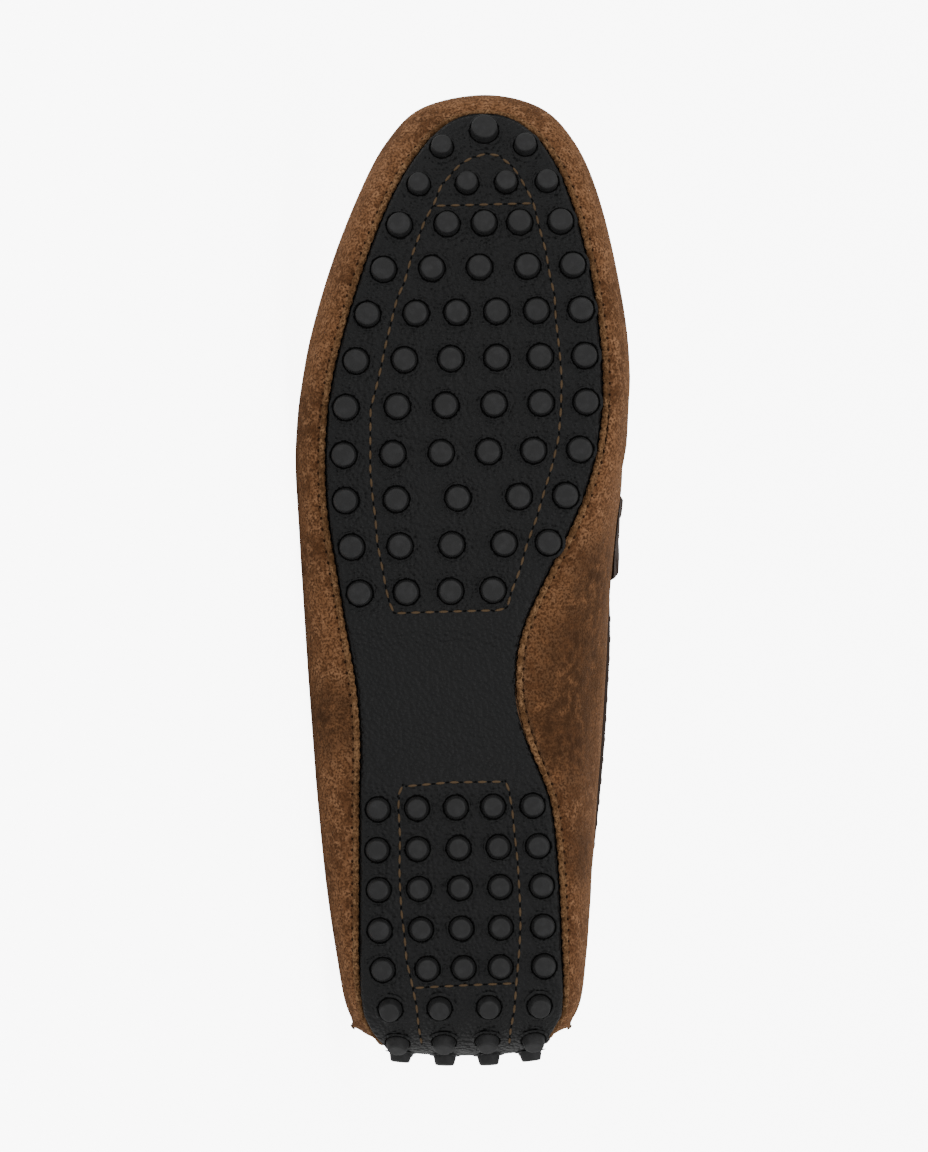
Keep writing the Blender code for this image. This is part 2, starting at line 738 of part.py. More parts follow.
def collar_binding(stations, points, normals, rings):
    """A leather strip folded over the tub's top edge, from one end of the strap to the other."""
    throat = stations.index(THROAT)
    count = len(stations)

    def frame(number):
        i = number % count
        top = points[rings[-1][i]]
        below = points[rings[-2][i]]
        return top, below, normals[rings[-1][i]], normals[rings[-2][i]]

    frames = [frame(number) for number in range(1 - throat, throat)]
    for end, near in ((0, frame(-throat)), (len(frames), frame(throat))):
        last = frames[min(end, len(frames) - 1)]
        frames.insert(end + (end > 0), [a.lerp(b, BINDING_END) for a, b in zip(last, near)])
    sheet = []
    for top, below, out, out_below in frames:
        up = (top - below).normalized()
        share = BINDING_LEAF / (top - below).length
        inner_top = top - out * SUEDE
        low = top.lerp(below, share)
        inner_low = inner_top.lerp(below - out_below * SUEDE, share)
        thick = FOLD_GAP + BINDING
        sheet += [
            low + out * FOLD_GAP,
            low + out * thick,
            top + out * thick + up * FOLD_GAP,
            top - out * SUEDE / 2 + up * thick,
            inner_top - out * thick + up * FOLD_GAP,
            inner_low - out * thick,
            inner_low - out * FOLD_GAP,
            inner_top - out * FOLD_GAP + up * FOLD_GAP,
            top + out * FOLD_GAP + up * FOLD_GAP,
        ]
    size = len(sheet) // len(frames)
    faces = []
    for i in range(len(frames) - 1):
        faces += bridge(range(i * size, (i + 1) * size), range((i + 1) * size, (i + 2) * size))
    faces.append(tuple(range(size)))
    faces.append(tuple(range(len(sheet) - size, len(sheet))))
    strip = mesh_object("collar_binding", sheet, faces, PARTS)
    return finish(strip, "collar_binding", material("dark_leather", (0.03, 0.017, 0.012), 0.5))


def lying_matrix():
    """Toe to -x, sole to -y and the outer side down, rolled and dropped, in metres."""
    base = Matrix(((0, -1, 0), (0, 0, 1), (-1, 0, 0))).to_4x4()
    drop = Matrix.Rotation(math.radians(HEEL_DROP), 4, "Y")
    roll = Matrix.Rotation(math.radians(-ROLL_PAST), 4, "X")
    turned = roll @ drop @ base
    lowest = min((turned @ tub_point(u, v)).z for u in tub_stations() for v in TUB_LEVELS)
    return Matrix.Translation((0, 0, -(lowest + SINK) * MM)) @ turned


def centre_on_floor():
    """Move the lying shoe so that the middle of its box stands over the origin."""
    bpy.context.view_layer.update()
    corners = [LYING_MATRIX @ vertex.co for made in PARTS.objects if made.type == "MESH"
               for vertex in made.data.vertices]
    shift = [-(max(c[axis] for c in corners) + min(c[axis] for c in corners)) / 2
             for axis in (0, 1)]
    LYING.matrix_world = Matrix.Translation((*shift, 0.0)) @ LYING_MATRIX


for old in list(bpy.data.objects):
    bpy.data.objects.remove(old)
PARTS = collection("driving_moccasin")
CUTTERS = collection("cutters")
LYING_MATRIX = lying_matrix()
LYING = bpy.data.objects.new("lying", None)
LYING.matrix_world = LYING_MATRIX
PARTS.objects.link(LYING)

SURFACE = upper()
guide = layer("seat_guide", sheet_distance(0.0), sheet_distance(LEATHER), SOLE_LEVELS, CUTTERS)
FORE_SEATS, HEEL_SEATS = stud_seats(guide)
bpy.data.objects.remove(guide)
outsole(FORE_SEATS + HEEL_SEATS)
RUBBER_SURFACE = material("black_rubber", (0.014, 0.014, 0.015), 0.6)
stud_plate("forefoot_studs", FORE_SEATS, FORE_PLATE_BACK, True, RUBBER_SURFACE)
stud_plate("heel_studs", HEEL_SEATS, HEEL_PLATE_FRONT, False, RUBBER_SURFACE)
insole(SURFACE[1], SURFACE[2], SURFACE[3])
tongue(SURFACE[1], SURFACE[2], SURFACE[4])
strap(*SURFACE)
collar_binding(*SURFACE[:4])
centre_on_floor()
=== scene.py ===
import math
from collections import namedtuple

import bpy
import numpy as np
from mathutils import Matrix, Vector
from mathutils.bvhtree import BVHTree


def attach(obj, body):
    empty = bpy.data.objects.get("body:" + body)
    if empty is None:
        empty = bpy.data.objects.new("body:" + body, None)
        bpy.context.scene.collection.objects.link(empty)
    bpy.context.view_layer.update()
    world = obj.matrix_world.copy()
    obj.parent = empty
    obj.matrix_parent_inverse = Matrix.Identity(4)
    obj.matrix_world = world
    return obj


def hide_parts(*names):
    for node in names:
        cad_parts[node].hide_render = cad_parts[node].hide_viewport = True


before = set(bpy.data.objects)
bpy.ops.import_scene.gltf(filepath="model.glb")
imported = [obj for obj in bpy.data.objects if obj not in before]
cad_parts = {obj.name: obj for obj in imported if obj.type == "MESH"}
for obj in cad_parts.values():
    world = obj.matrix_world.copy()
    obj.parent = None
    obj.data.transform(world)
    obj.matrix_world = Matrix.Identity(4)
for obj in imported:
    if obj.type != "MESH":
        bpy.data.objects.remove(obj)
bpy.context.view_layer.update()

# The suede upper: one piece of brown suede drawn up round the foot and closed over the toes by an
# apron, with a raised hand-sewn seam round it and two more beside the heel tab. Everything below
# is in the shoe's own frame, in millimetres: x outwards, y from heel to toe, z up from the studs.
MM = 0.001
ROLL_PAST = 9.0
HEEL_DROP = 3.7
LIES_AT = (0.141183, -0.033866, 0.040924)
TURNED = (Matrix.Rotation(math.radians(-ROLL_PAST), 4, "X")
          @ Matrix.Rotation(math.radians(HEEL_DROP), 4, "Y")
          @ Matrix(((0, -1, 0), (0, 0, 1), (-1, 0, 0))).to_4x4())
LYING = Matrix.Translation(LIES_AT) @ TURNED
LYING_TURN = np.array(TURNED.to_3x3())
SUEDE_WALL = 1.8
FLOOR_OF_TUB = 6.0
SPRING_START = 181.0
SPRING_LENGTH = 99.0
SPRING_HEIGHT = 16.0
SPRING_POWER = 3.6
COLLAR_BOW = 1.3
TOE_BOW = 2.0
THROAT = 8.5
CROWN = 12.5
CROWN_POWER = 0.8
SEAM_WIDTH = 2.6
SEAM_HEIGHT = 1.9
SEAM_FADE = (161.0, 176.0)
SEAM_STEPS = (0.25, 0.5, 0.75, 1.0)
SEAM_CREST = (-0.15, 0.7, 1.0, 0.7, -0.15)
SEAM_SHARE = 0.42         # of the gap to the seam's other side, at most
SEAM_SLOPE = 0.35 / 80    # rise across the seam, more where the apron is wide
TIP_RISE = 0.1
HEEL_SEAM = 2.5
HEEL_SEAM_HALF = 0.12
HEEL_SEAM_HEIGHT = 1.0
FINE = 8                # steps to each section of the tables
APRON_COLUMNS = 28
TURN_ROWS = 15
SIDE_ROWS = 21

Section = namedtuple("Section", "y lateral medial z_lateral z_medial")
Outline = namedtuple("Outline", "y lateral medial")
EDGE = [Section(*row) for row in (
    (3.0, 0.0, 0.0, 25.0, 25.0),
    (3.7, 15.0, -14.0, 25.0, 25.0),
    (6.2, 28.4, -26.6, 24.0, 24.0),
    (14.0, 34.4, -34.2, 22.0, 22.5),
    (30.0, 37.6, -36.8, 20.0, 23.0),
    (52.0, 40.8, -38.4, 19.0, 28.0),
    (80.0, 43.6, -40.4, 19.0, 36.0),
    (106.0, 45.6, -42.3, 19.0, 40.0),
    (130.0, 47.3, -43.4, 19.0, 38.0),
    (154.0, 48.8, -45.2, 19.5, 31.0),
    (182.0, 49.8, -48.6, 20.0, 25.0),
    (209.0, 46.5, -49.5, 21.0, 22.5),
    (235.0, 39.5, -45.7, 23.0, 23.5),
    (258.0, 30.6, -39.9, 26.0, 26.0),
    (273.0, 22.5, -33.0, 28.5, 28.5),
    (283.0, 12.0, -23.0, 30.5, 30.5),
    (286.8, -6.6, -6.6, 31.0, 31.0),
)]
TURN = [Outline(*row) for row in (
    (22.0, 0.0, 0.0),
    (22.3, 11.0, -11.0),
    (24.0, 21.5, -21.0),
    (29.0, 28.0, -27.5),
    (38.0, 31.8, -30.5),
    (56.0, 32.2, -30.0),
    (80.0, 32.1, -26.6),
    (106.0, 32.6, -17.2),
    (130.0, 36.2, -19.6),
    (154.0, 40.8, -31.6),
    (182.0, 42.2, -42.2),
    (208.0, 38.6, -42.6),
    (233.0, 31.5, -39.0),
    (254.0, 23.6, -34.0),
    (268.0, 15.5, -28.1),
    (277.5, 6.5, -19.0),
    (281.3, -6.0, -6.0),
)]
TOP = [Section(*row) for row in (
    (8.5, 0.0, 0.0, 58.0, 58.0),
    (9.4, 12.0, -12.0, 57.6, 57.6),
    (13.0, 23.0, -22.5, 56.2, 56.2),
    (21.0, 29.3, -29.8, 54.2, 54.2),
    (36.0, 31.4, -34.5, 51.8, 51.8),
    (57.0, 34.2, -37.8, 49.8, 50.0),
    (82.0, 36.0, -40.8, 49.2, 49.6),
    (106.0, 37.4, -42.6, 49.8, 50.4),
    (130.0, 38.0, -43.4, 51.6, 52.4),
    (154.0, 35.2, -40.8, 52.6, 53.2),
    (180.0, 32.2, -37.0, 49.6, 50.0),
    (204.0, 28.6, -34.0, 47.0, 47.2),
    (228.0, 22.6, -31.0, 45.0, 45.2),
    (245.0, 16.4, -27.6, 43.8, 44.0),
    (257.0, 9.4, -23.0, 43.0, 43.0),
    (264.5, 1.0, -15.4, 42.4, 42.4),
    (266.8, -7.2, -7.2, 42.2, 42.2),
)]
SECTIONS = len(EDGE) - 1
RING = 2 * SECTIONS

# Soft creases of the suede: where the middle is, the way it runs, and its half length, half
# width and depth. Each is a shallow trough with a lower ridge along either side.
CREASE_RIDGE = 0.45       # the ridge's share of the depth
CREASE_REACH = 2.2        # its distance from the middle, in half widths
Crease = namedtuple("Crease", "x y z way length width depth")
CREASES = [Crease(*row) for row in (
    (-38, 118, 24, (0.2, 1.0, 0.5), 22, 4.0, 0.7),
    (-40, 140, 30, (0.1, 1.0, -0.4), 20, 4.5, 0.6),
    (-36, 96, 22, (0.3, 1.0, 0.2), 16, 3.5, 0.5),
    (-46, 176, 26, (0.1, 0.6, 1.0), 12, 3.5, 0.5),
    (-44, 200, 30, (0.2, 0.7, 1.0), 11, 3.0, 0.5),
    (46, 168, 36, (-0.2, 0.6, 1.0), 13, 3.0, 0.5),
    (43, 196, 34, (-0.2, 0.8, 1.0), 12, 3.0, 0.6),
    (40, 214, 32, (-0.3, 0.9, 0.8), 10, 2.5, 0.5),
    (2, 176, 58, (1.0, 0.15, 0.0), 26, 3.5, 0.6),
    (0, 190, 56, (1.0, -0.12, 0.0), 24, 3.0, 0.5),
    (-6, 206, 53, (1.0, 0.1, 0.0), 20, 3.0, 0.4),
    (34, 60, 36, (0.0, 0.3, 1.0), 10, 3.5, 0.5),
    (-36, 52, 38, (0.0, -0.3, 1.0), 10, 3.5, 0.5),
)]


def smooth(value, low, high):
    t = np.clip((value - low) / (high - low), 0.0, 1.0)
    return t * t * (3 - 2 * t)


def ring_points(rows):
    """The rows' points up the lateral side and back down the medial side."""
    lateral = [(row.lateral, row.y, getattr(row, "z_lateral", 0.0)) for row in rows]
    medial = [(row.medial, row.y, getattr(row, "z_medial", 0.0)) for row in rows[-2:0:-1]]
    return np.array(lateral + medial)


def on_ring(points, u):
    """Points on the smooth closed curve through the given ones, u counted in points."""
    i = np.floor(u).astype(int)
    t = (u - i)[:, None]
    a, b, c, d = (points[(i + k) % len(points)] for k in (-1, 0, 1, 2))
    return 0.5 * (2 * b + (c - a) * t + (2 * a - 5 * b + 4 * c - d) * t ** 2
                  + (3 * b - a - 3 * c + d) * t ** 3)


def spring(y):
    """Rise of the sole's underside at y, and its slope."""
    t = np.maximum(y - SPRING_START, 0.0) / SPRING_LENGTH
    rise = SPRING_HEIGHT * t ** SPRING_POWER
    slope = SPRING_POWER * SPRING_HEIGHT / SPRING_LENGTH * t ** (SPRING_POWER - 1)
    return rise, slope


def tub_row(u, v):
    """The tub's outer face at one level: v runs from the turn (0) to the top edge (2)."""
    turn = on_ring(ring_points(TURN), u)
    edge = on_ring(ring_points(EDGE), u)
    top = on_ring(ring_points(TOP), u)
    across = (edge - turn) * (1, 1, 0)
    reach = np.linalg.norm(across, axis=1)
    out = across / reach[:, None]
    rise, slope = spring(turn[:, 1])
    if v <= 1:
        slope = slope * out[:, 1]
        low = FLOOR_OF_TUB + rise
        centre = edge[:, 2] - reach * slope
        angle = v * math.pi / 2
        row = turn + out * (reach * math.sin(angle))[:, None]
        row[:, 2] = centre + (low - centre) * math.cos(angle) + reach * slope * math.sin(angle)
        return row
    w = v - 1
    nearness = SECTIONS - np.abs(u - SECTIONS)
    bow = COLLAR_BOW + (TOE_BOW - COLLAR_BOW) * smooth(nearness, 8.5, 11.0)
    row = edge.copy()
    row[:, 0] += (top[:, 0] - edge[:, 0]) * w ** bow
    row[:, 1] += (top[:, 1] - edge[:, 1]) * w ** bow
    row[:, 2] += (top[:, 2] - edge[:, 2]) * w
    return row


def laid(points):
    """Points of the shoe's own frame as they lie, in metres, pressed flat on the floor."""
    placed = np.asarray(points, float) * MM @ LYING_TURN.T + np.array(LIES_AT)
    placed[:, 2] = np.maximum(placed[:, 2], 0.0)
    return placed


def shoe_mesh(name, points, faces, look):
    """A new object from points in the shoe's own millimetres, laid down with the shoe."""
    mesh = bpy.data.meshes.new(name)
    mesh.from_pydata(laid(points).tolist(), [], faces)
    mesh.update()
    mesh.shade_smooth()
    mesh.materials.append(look)
    made = bpy.data.objects.new(name, mesh)
    bpy.context.scene.collection.objects.link(made)
    return made


def bridge(low, high):
    """Faces between two closed rings of as many points, given by their numbers."""
    count = len(low)
    return [(low[i], low[(i + 1) % count], high[(i + 1) % count], high[i]) for i in range(count)]


def vertex_normals(made):
    """The object's vertex normals, in the shoe's own frame."""
    values = np.empty(len(made.data.vertices) * 3)
    made.data.vertices.foreach_get("normal", values)
    return values.reshape(-1, 3) @ LYING_TURN


def creased(points, normals):
    """The points moved in or out along their normals by the creases near them."""
    moved = points.copy()
    for crease in CREASES:
        middle = np.array((crease.x, crease.y, crease.z), float)
        way = np.array(crease.way) / np.linalg.norm(crease.way)
        away = points - middle
        along = away @ way
        side = np.linalg.norm(away - along[:, None] * way, axis=1) / crease.width
        fade = crease.depth * np.exp(-(along / crease.length) ** 2)
        trough = np.exp(-side ** 2)
        ridge = CREASE_RIDGE * np.exp(-(side - CREASE_REACH) ** 2)
        moved += normals * (fade * (ridge - trough))[:, None]
    return moved


def tub_faces(rings):
    """The tub's faces: its underside, joined from side to side, and the wall round it."""
    low = rings[0]
    half = len(low) // 2
    faces = [(low[1], low[0], low[-1])]
    for i in range(1, half - 1):
        faces.append((low[i], low[i + 1], low[-i - 1], low[-i]))
    faces.append((low[half - 1], low[half], low[half + 1]))
    for below, above in zip(rings, rings[1:]):
        faces += bridge(below, above)
    return faces


def seam_strip(points, top, fronts):
    """The narrow strip inside the tub's top edge that the apron's seam runs on."""
    count = len(top)
    strip = []
    seam = {}
    for i in fronts:
        at_tip = i == count // 2
        edge = points[top[i]]
        along = points[top[(i + 1) % count]] - points[top[i - 1]]
        inward = np.array((-along[1], along[0], 0.0))
        inward /= np.linalg.norm(inward)
        gap = np.linalg.norm(points[top[-i]] - edge)
        width = SEAM_WIDTH if at_tip else min(SEAM_WIDTH, SEAM_SHARE * gap)
        rise = SEAM_WIDTH * SEAM_SLOPE * gap + TIP_RISE * at_tip
        landing = edge + inward * width + np.array((0, 0, rise))
        numbers = [top[i]]
        for step in SEAM_STEPS:
            numbers.append(len(points) + len(strip))
            strip.append(edge + (landing - edge) * step)
        seam[i] = numbers
    return np.array(strip), seam


def apron_rows(points, seam, half):
    """The apron between the two sides of its seam, crowned, more so towards the throat."""
    throat_y = on_ring(ring_points(TOP), np.array([THROAT]))[0][1]
    apron = []
    columns = {}
    for i in [i for i in sorted(seam) if i < half]:
        left, right = seam[i][-1], seam[2 * half - i][-1]
        numbers = [left]
        for k in range(1, APRON_COLUMNS):
            t = k / APRON_COLUMNS
            point = points[left] * (1 - t) + points[right] * t
            share = max(TOP[-1].y - point[1], 0.0) / (TOP[-1].y - throat_y)
            point[2] += CROWN * share ** CROWN_POWER * 4 * t * (1 - t)
            numbers.append(len(points) + len(apron))
            apron.append(point)
        columns[i] = numbers + [right]
    return np.array(apron), columns


def upper_shape():
    """The outer face of tub and apron, and the numbers of its rings, seam and apron rows."""
    u = np.arange(RING * FINE) / FINE
    count = len(u)
    half = count // 2
    levels = np.concatenate((np.linspace(0, 1, TURN_ROWS), np.linspace(1, 2, SIDE_ROWS)[1:]))
    rings = [list(range(k * count, (k + 1) * count)) for k in range(len(levels))]
    points = np.concatenate([tub_row(u, v) for v in levels])
    faces = tub_faces(rings)
    fronts = [i for i in range(count) if THROAT <= u[i] <= RING - THROAT]
    strip, seam = seam_strip(points, rings[-1], fronts)
    points = np.concatenate((points, strip))
    for i, j in zip(fronts, fronts[1:]):
        for k in range(len(SEAM_STEPS)):
            faces.append((seam[i][k], seam[j][k], seam[j][k + 1], seam[i][k + 1]))
    apron, columns = apron_rows(points, seam, half)
    rows = sorted(columns)
    for i, j in zip(rows, rows[1:]):
        for k in range(APRON_COLUMNS):
            faces.append((columns[i][k], columns[j][k], columns[j][k + 1], columns[i][k + 1]))
    last = columns[rows[-1]]
    for k in range(APRON_COLUMNS):
        faces.append((last[k], seam[half][-1], last[k + 1]))
    return u, levels, np.concatenate((points, apron)), faces, rings, seam, columns


def seam_rise(u, levels, points, rings, seam):
    """How far the raised seams stand out at each point."""
    rise = np.zeros(len(points))
    for numbers in seam.values():
        for k, share in zip(numbers, SEAM_CREST):
            rise[k] = SEAM_HEIGHT * share * smooth(points[k][1], *SEAM_FADE)
    distance = np.minimum(np.abs(u - HEEL_SEAM), np.abs(u - (RING - HEEL_SEAM)))
    ridge = np.exp(-(distance / HEEL_SEAM_HALF) ** 2)
    for level, ring in zip(levels, rings):
        fade = smooth(level, 0.3, 0.75) * (1 - smooth(level, 1.7, 2.0))
        rise[ring] += HEEL_SEAM_HEIGHT * fade * ridge
    return rise


def new_group(name, inputs, outputs):
    """An empty node group with float inputs, given with their values, and named outputs."""
    group = bpy.data.node_groups.new(name, "ShaderNodeTree")
    for label, value in inputs:
        socket = group.interface.new_socket(label, in_out="INPUT", socket_type="NodeSocketFloat")
        socket.default_value = value
    for label, kind in outputs:
        group.interface.new_socket(label, in_out="OUTPUT", socket_type=kind)
    return group, group.nodes.new("NodeGroupInput"), group.nodes.new("NodeGroupOutput")


def relief_group():
    """Noise in the object's coordinates as a mask, and as a bump over the normal under it."""
    group, inside, out = new_group("relief", (("Scale", 400.0), ("Detail", 4.0), ("Depth", 0.2)),
                                   (("Mask", "NodeSocketFloat"), ("Normal", "NodeSocketVector")))
    place = group.nodes.new("ShaderNodeTexCoord")
    noise = group.nodes.new("ShaderNodeTexNoise")
    under = group.interface.new_socket("Under", in_out="INPUT", socket_type="NodeSocketVector")
    under.hide_value = True
    bump = group.nodes.new("ShaderNodeBump")
    bump.inputs["Distance"].default_value = 0.0006
    group.links.new(inside.outputs["Under"], bump.inputs["Normal"])
    group.links.new(place.outputs["Object"], noise.inputs["Vector"])
    group.links.new(inside.outputs["Scale"], noise.inputs["Scale"])
    group.links.new(inside.outputs["Detail"], noise.inputs["Detail"])
    group.links.new(inside.outputs["Depth"], bump.inputs["Strength"])
    group.links.new(noise.outputs["Fac"], bump.inputs["Height"])
    group.links.new(noise.outputs["Fac"], out.inputs["Mask"])
    group.links.new(bump.outputs["Normal"], out.inputs["Normal"])
    return group


RELIEF = relief_group()


def add_relief(tree, scale, detail, depth):
    node = tree.nodes.new("ShaderNodeGroup")
    node.node_tree = RELIEF
    node.inputs["Scale"].default_value = scale
    node.inputs["Detail"].default_value = detail
    node.inputs["Depth"].default_value = depth
    return node


def add_mix(tree, factor, low, high):
    """A colour between two, each a colour or an output socket."""
    mix = tree.nodes.new("ShaderNodeMix")
    mix.data_type = "RGBA"
    tree.links.new(factor, mix.inputs["Factor"])
    for socket, value in ((mix.inputs[6], low), (mix.inputs[7], high)):
        if isinstance(value, tuple):
            socket.default_value = (*value, 1.0)
        else:
            tree.links.new(value, socket)
    return mix.outputs[2]


def add_ramp(tree, factor, low, high):
    """A 0 to 1 step of the factor between two values."""
    step = tree.nodes.new("ShaderNodeMapRange")
    step.interpolation_type = "SMOOTHSTEP"
    step.inputs["From Min"].default_value = low
    step.inputs["From Max"].default_value = high
    tree.links.new(factor, step.inputs["Value"])
    return step.outputs["Result"]


def new_material(name, roughness):
    made = bpy.data.materials.new(name)
    made.use_nodes = True
    shader = made.node_tree.nodes["Principled BSDF"]
    shader.inputs["Roughness"].default_value = roughness
    shader.inputs["Metallic"].default_value = 0.0
    return made, made.node_tree, shader


def grained_material(name, roughness, relief, dark, light, specular, step=None):
    """Two tones of a colour over the relief that parts them, with a step between if given."""
    made, tree, shader = new_material(name, roughness)
    grain = add_relief(tree, *relief)
    mask = grain.outputs["Mask"]
    if step:
        mask = add_ramp(tree, mask, *step)
    tree.links.new(add_mix(tree, mask, dark, light), shader.inputs["Base Color"])
    tree.links.new(grain.outputs["Normal"], shader.inputs["Normal"])
    shader.inputs["Specular IOR Level"].default_value = specular
    return made


def darker(colour, share):
    return tuple(share * value for value in colour)


def add_shade_spot(tree, centre, radius):
    """A soft spot of painted shade at a place given in the shoe's own frame, in metres."""
    place = tree.nodes.new("ShaderNodeTexCoord")
    away = tree.nodes.new("ShaderNodeVectorMath")
    away.operation = "DISTANCE"
    away.inputs[1].default_value = LYING @ Vector(centre)
    tree.links.new(place.outputs["Object"], away.inputs[0])
    return add_ramp(tree, away.outputs["Value"], radius, radius * 0.2)


def suede_material(name, dark, mid, light, shade_spots=()):
    """Suede: mottled broadly and finely, with dark flecks in the nap and spots of painted shade."""
    made, tree, shader = new_material(name, 0.95)
    broad = add_relief(tree, 60.0, 8.0, 0.0)
    patch = add_relief(tree, 330.0, 10.0, 0.5)
    nap = add_relief(tree, 1500.0, 5.0, 1.0)
    tree.links.new(patch.outputs["Normal"], nap.inputs["Under"])
    base = add_mix(tree, add_ramp(tree, broad.outputs["Mask"], 0.36, 0.58), dark, mid)
    base = add_mix(tree, add_ramp(tree, patch.outputs["Mask"], 0.4, 0.7), base, light)
    fleck = add_ramp(tree, nap.outputs["Mask"], 0.38, 0.6)
    deep = darker(dark, 0.4)
    base = add_mix(tree, fleck, add_mix(tree, broad.outputs["Mask"], deep, dark), base)
    # Painted shade: the colour is drawn towards the deep tone in soft spots, broken up by the
    # mottle.
    for centre, radius in shade_spots:
        spot = add_shade_spot(tree, centre, radius)
        strength = tree.nodes.new("ShaderNodeMath")
        strength.operation = "MULTIPLY"
        tree.links.new(spot, strength.inputs[0])
        tree.links.new(add_ramp(tree, patch.outputs["Mask"], 0.25, 0.65), strength.inputs[1])
        base = add_mix(tree, strength.outputs[0], base, deep)
    tree.links.new(base, shader.inputs["Base Color"])
    tree.links.new(nap.outputs["Normal"], shader.inputs["Normal"])
    shader.inputs["Sheen Weight"].default_value = 0.15
    shader.inputs["Sheen Roughness"].default_value = 0.5
    shader.inputs["Sheen Tint"].default_value = (0.8, 0.45, 0.24, 1.0)
    shader.inputs["Specular IOR Level"].default_value = 0.08
    return made


# The spots listed last are painted shade, low on the waist near the sole, on the arch and the outer
# side.
SUEDE = suede_material("suede", (0.088, 0.037, 0.015), (0.175, 0.081, 0.036),
                       (0.255, 0.128, 0.063),
                       shade_spots=(((-0.036, 0.118, 0.016), 0.030), ((-0.030, 0.095, 0.012), 0.026),
                                ((-0.040, 0.143, 0.018), 0.022), ((0.037, 0.100, 0.012), 0.018),
                                ((-0.034, 0.060, 0.014), 0.016)))


def lining_material():
    """The inside: smooth tan lining leather, a little creased."""
    return grained_material("lining", 0.6, (300.0, 6.0, 0.35), (0.12, 0.062, 0.03),
                            (0.2, 0.112, 0.058), 0.25)


U, LEVELS, POINTS, FACES, RINGS, SEAM, COLUMNS = upper_shape()
suede_upper = shoe_mesh("suede_upper", POINTS, FACES, SUEDE)
NORMALS = vertex_normals(suede_upper)
TREE = BVHTree.FromPolygons([Vector(p) for p in POINTS], FACES)
raised = creased(POINTS, NORMALS) + NORMALS * seam_rise(U, LEVELS, POINTS, RINGS, SEAM)[:, None]
suede_upper.data.vertices.foreach_set("co", laid(raised).ravel())
wall = suede_upper.modifiers.new("wall", "SOLIDIFY")
wall.thickness = SUEDE_WALL * MM
wall.offset = -1.0
wall.material_offset = 1
suede_upper.data.materials.append(lining_material())
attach(suede_upper, "root")
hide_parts("upper")


# The black sole pad: pebbled leather, moulded to a soft round edge and sewn to the suede. It runs
# from the toe to the heel and on up the back of the heel as a tab.
GAP = 0.3
RUBBER = 1.0
LEATHER = 1.4
EDGE_ROUND = 1.7
HEEL_PLATE_FRONT = 78.5
FORE_PLATE_BACK = 133.5
WAIST_BACK = 92.0
WAIST_FRONT = 120.0
PIVOT = (27.0, 26.0)      # y and height of the middle of the heel's turn
TAB_TOP = 43.0
PAD_COLUMNS = 90
PAD_STEP = 2.0
TOE_RUN = 34.0            # length at the toe where the pad's rows draw closer together
SOLE_SOFT = 6.0           # reach that rounds the sole's outline between its rows
EDGE_HEIGHT = 0.15        # of the pad's very edge above the suede
INSIDE = 7.0              # where rays towards the suede start, above its underside
SOLE = [Outline(*row) for row in (
    (26.0, 30.3, -29.3),
    (34.6, 30.7, -29.2),
    (57.0, 30.6, -28.2),
    (72.0, 30.6, -26.8),
    (80.0, 30.6, -25.1),
    (88.2, 30.3, -21.2),
    (95.4, 30.3, -18.3),
    (104.9, 30.9, -15.9),
    (114.0, 32.0, -15.4),
    (125.2, 34.2, -16.7),
    (134.4, 35.7, -20.4),
    (146.3, 37.6, -26.4),
    (159.7, 40.0, -33.2),
    (173.1, 40.8, -38.2),
    (186.5, 40.5, -40.8),
    (200.0, 39.0, -41.5),
    (213.4, 35.8, -40.6),
    (226.8, 31.9, -39.0),
    (240.2, 27.4, -36.1),
    (249.1, 23.9, -33.7),
    (258.1, 19.9, -30.7),
    (267.0, 14.5, -26.7),
    (271.5, 11.0, -23.5),
    (275.9, 6.2, -18.8),
    (278.6, 1.4, -13.6),
    (279.8, -6.0, -6.0),
)]
# The same outline round the turn of the heel, by the turn's angle, and up the tab, by height
HEEL_TURN = [Outline(*row) for row in (
    (0.0, 30.3, -29.3), (20.0, 29.9, -29.3), (40.0, 28.9, -28.8), (55.0, 26.6, -26.2),
    (68.0, 24.0, -24.0), (80.0, 23.1, -23.3), (90.0, 22.8, -23.0),
)]
HEEL_TAB = [Outline(*row) for row in (
    (26.0, 22.8, -23.0), (34.0, 21.8, -21.9), (39.0, 20.0, -20.0), (41.6, 17.0, -17.0),
    (42.7, 13.0, -13.0), (43.0, 8.0, -8.0),
)]


def widths(table, at, reach=0.0):
    """Half widths, outer and inner, between a table's rows, averaged over a reach either way."""
    keys = [row.y for row in table]
    near = at + reach * np.linspace(-1, 1, 9)
    return (np.interp(near, keys, [row.lateral for row in table]).mean(),
            np.interp(near, keys, [row.medial for row in table]).mean())


def pad_rows():
    """The pad's cross rows from the toe to the top of the tab: origin y, z, aim, half widths."""
    rows = []
    tip = SOLE[-1].y
    for t in np.linspace(0.02, 1.0, 34):
        y = tip - TOE_RUN * (1 - math.cos(t * math.pi / 2))
        rows.append((y, None, (0, 0, -1), widths(SOLE, y, min(SOLE_SOFT, (tip - y) / 2))))
    for y in np.arange(tip - TOE_RUN - PAD_STEP, PIVOT[0], -PAD_STEP):
        rows.append((y, None, (0, 0, -1), widths(SOLE, y, min(SOLE_SOFT, (tip - y) / 2))))
    for angle in np.linspace(0, 90, 30):
        turn = math.radians(angle)
        aim = (0, -math.sin(turn), -math.cos(turn))
        rows.append((PIVOT[0], PIVOT[1], aim, widths(HEEL_TURN, angle)))
    for z in np.linspace(PIVOT[1], TAB_TOP, 22)[1:]:
        rows.append((PIVOT[0], z, (0, -1, 0), widths(HEEL_TAB, z)))
    return rows


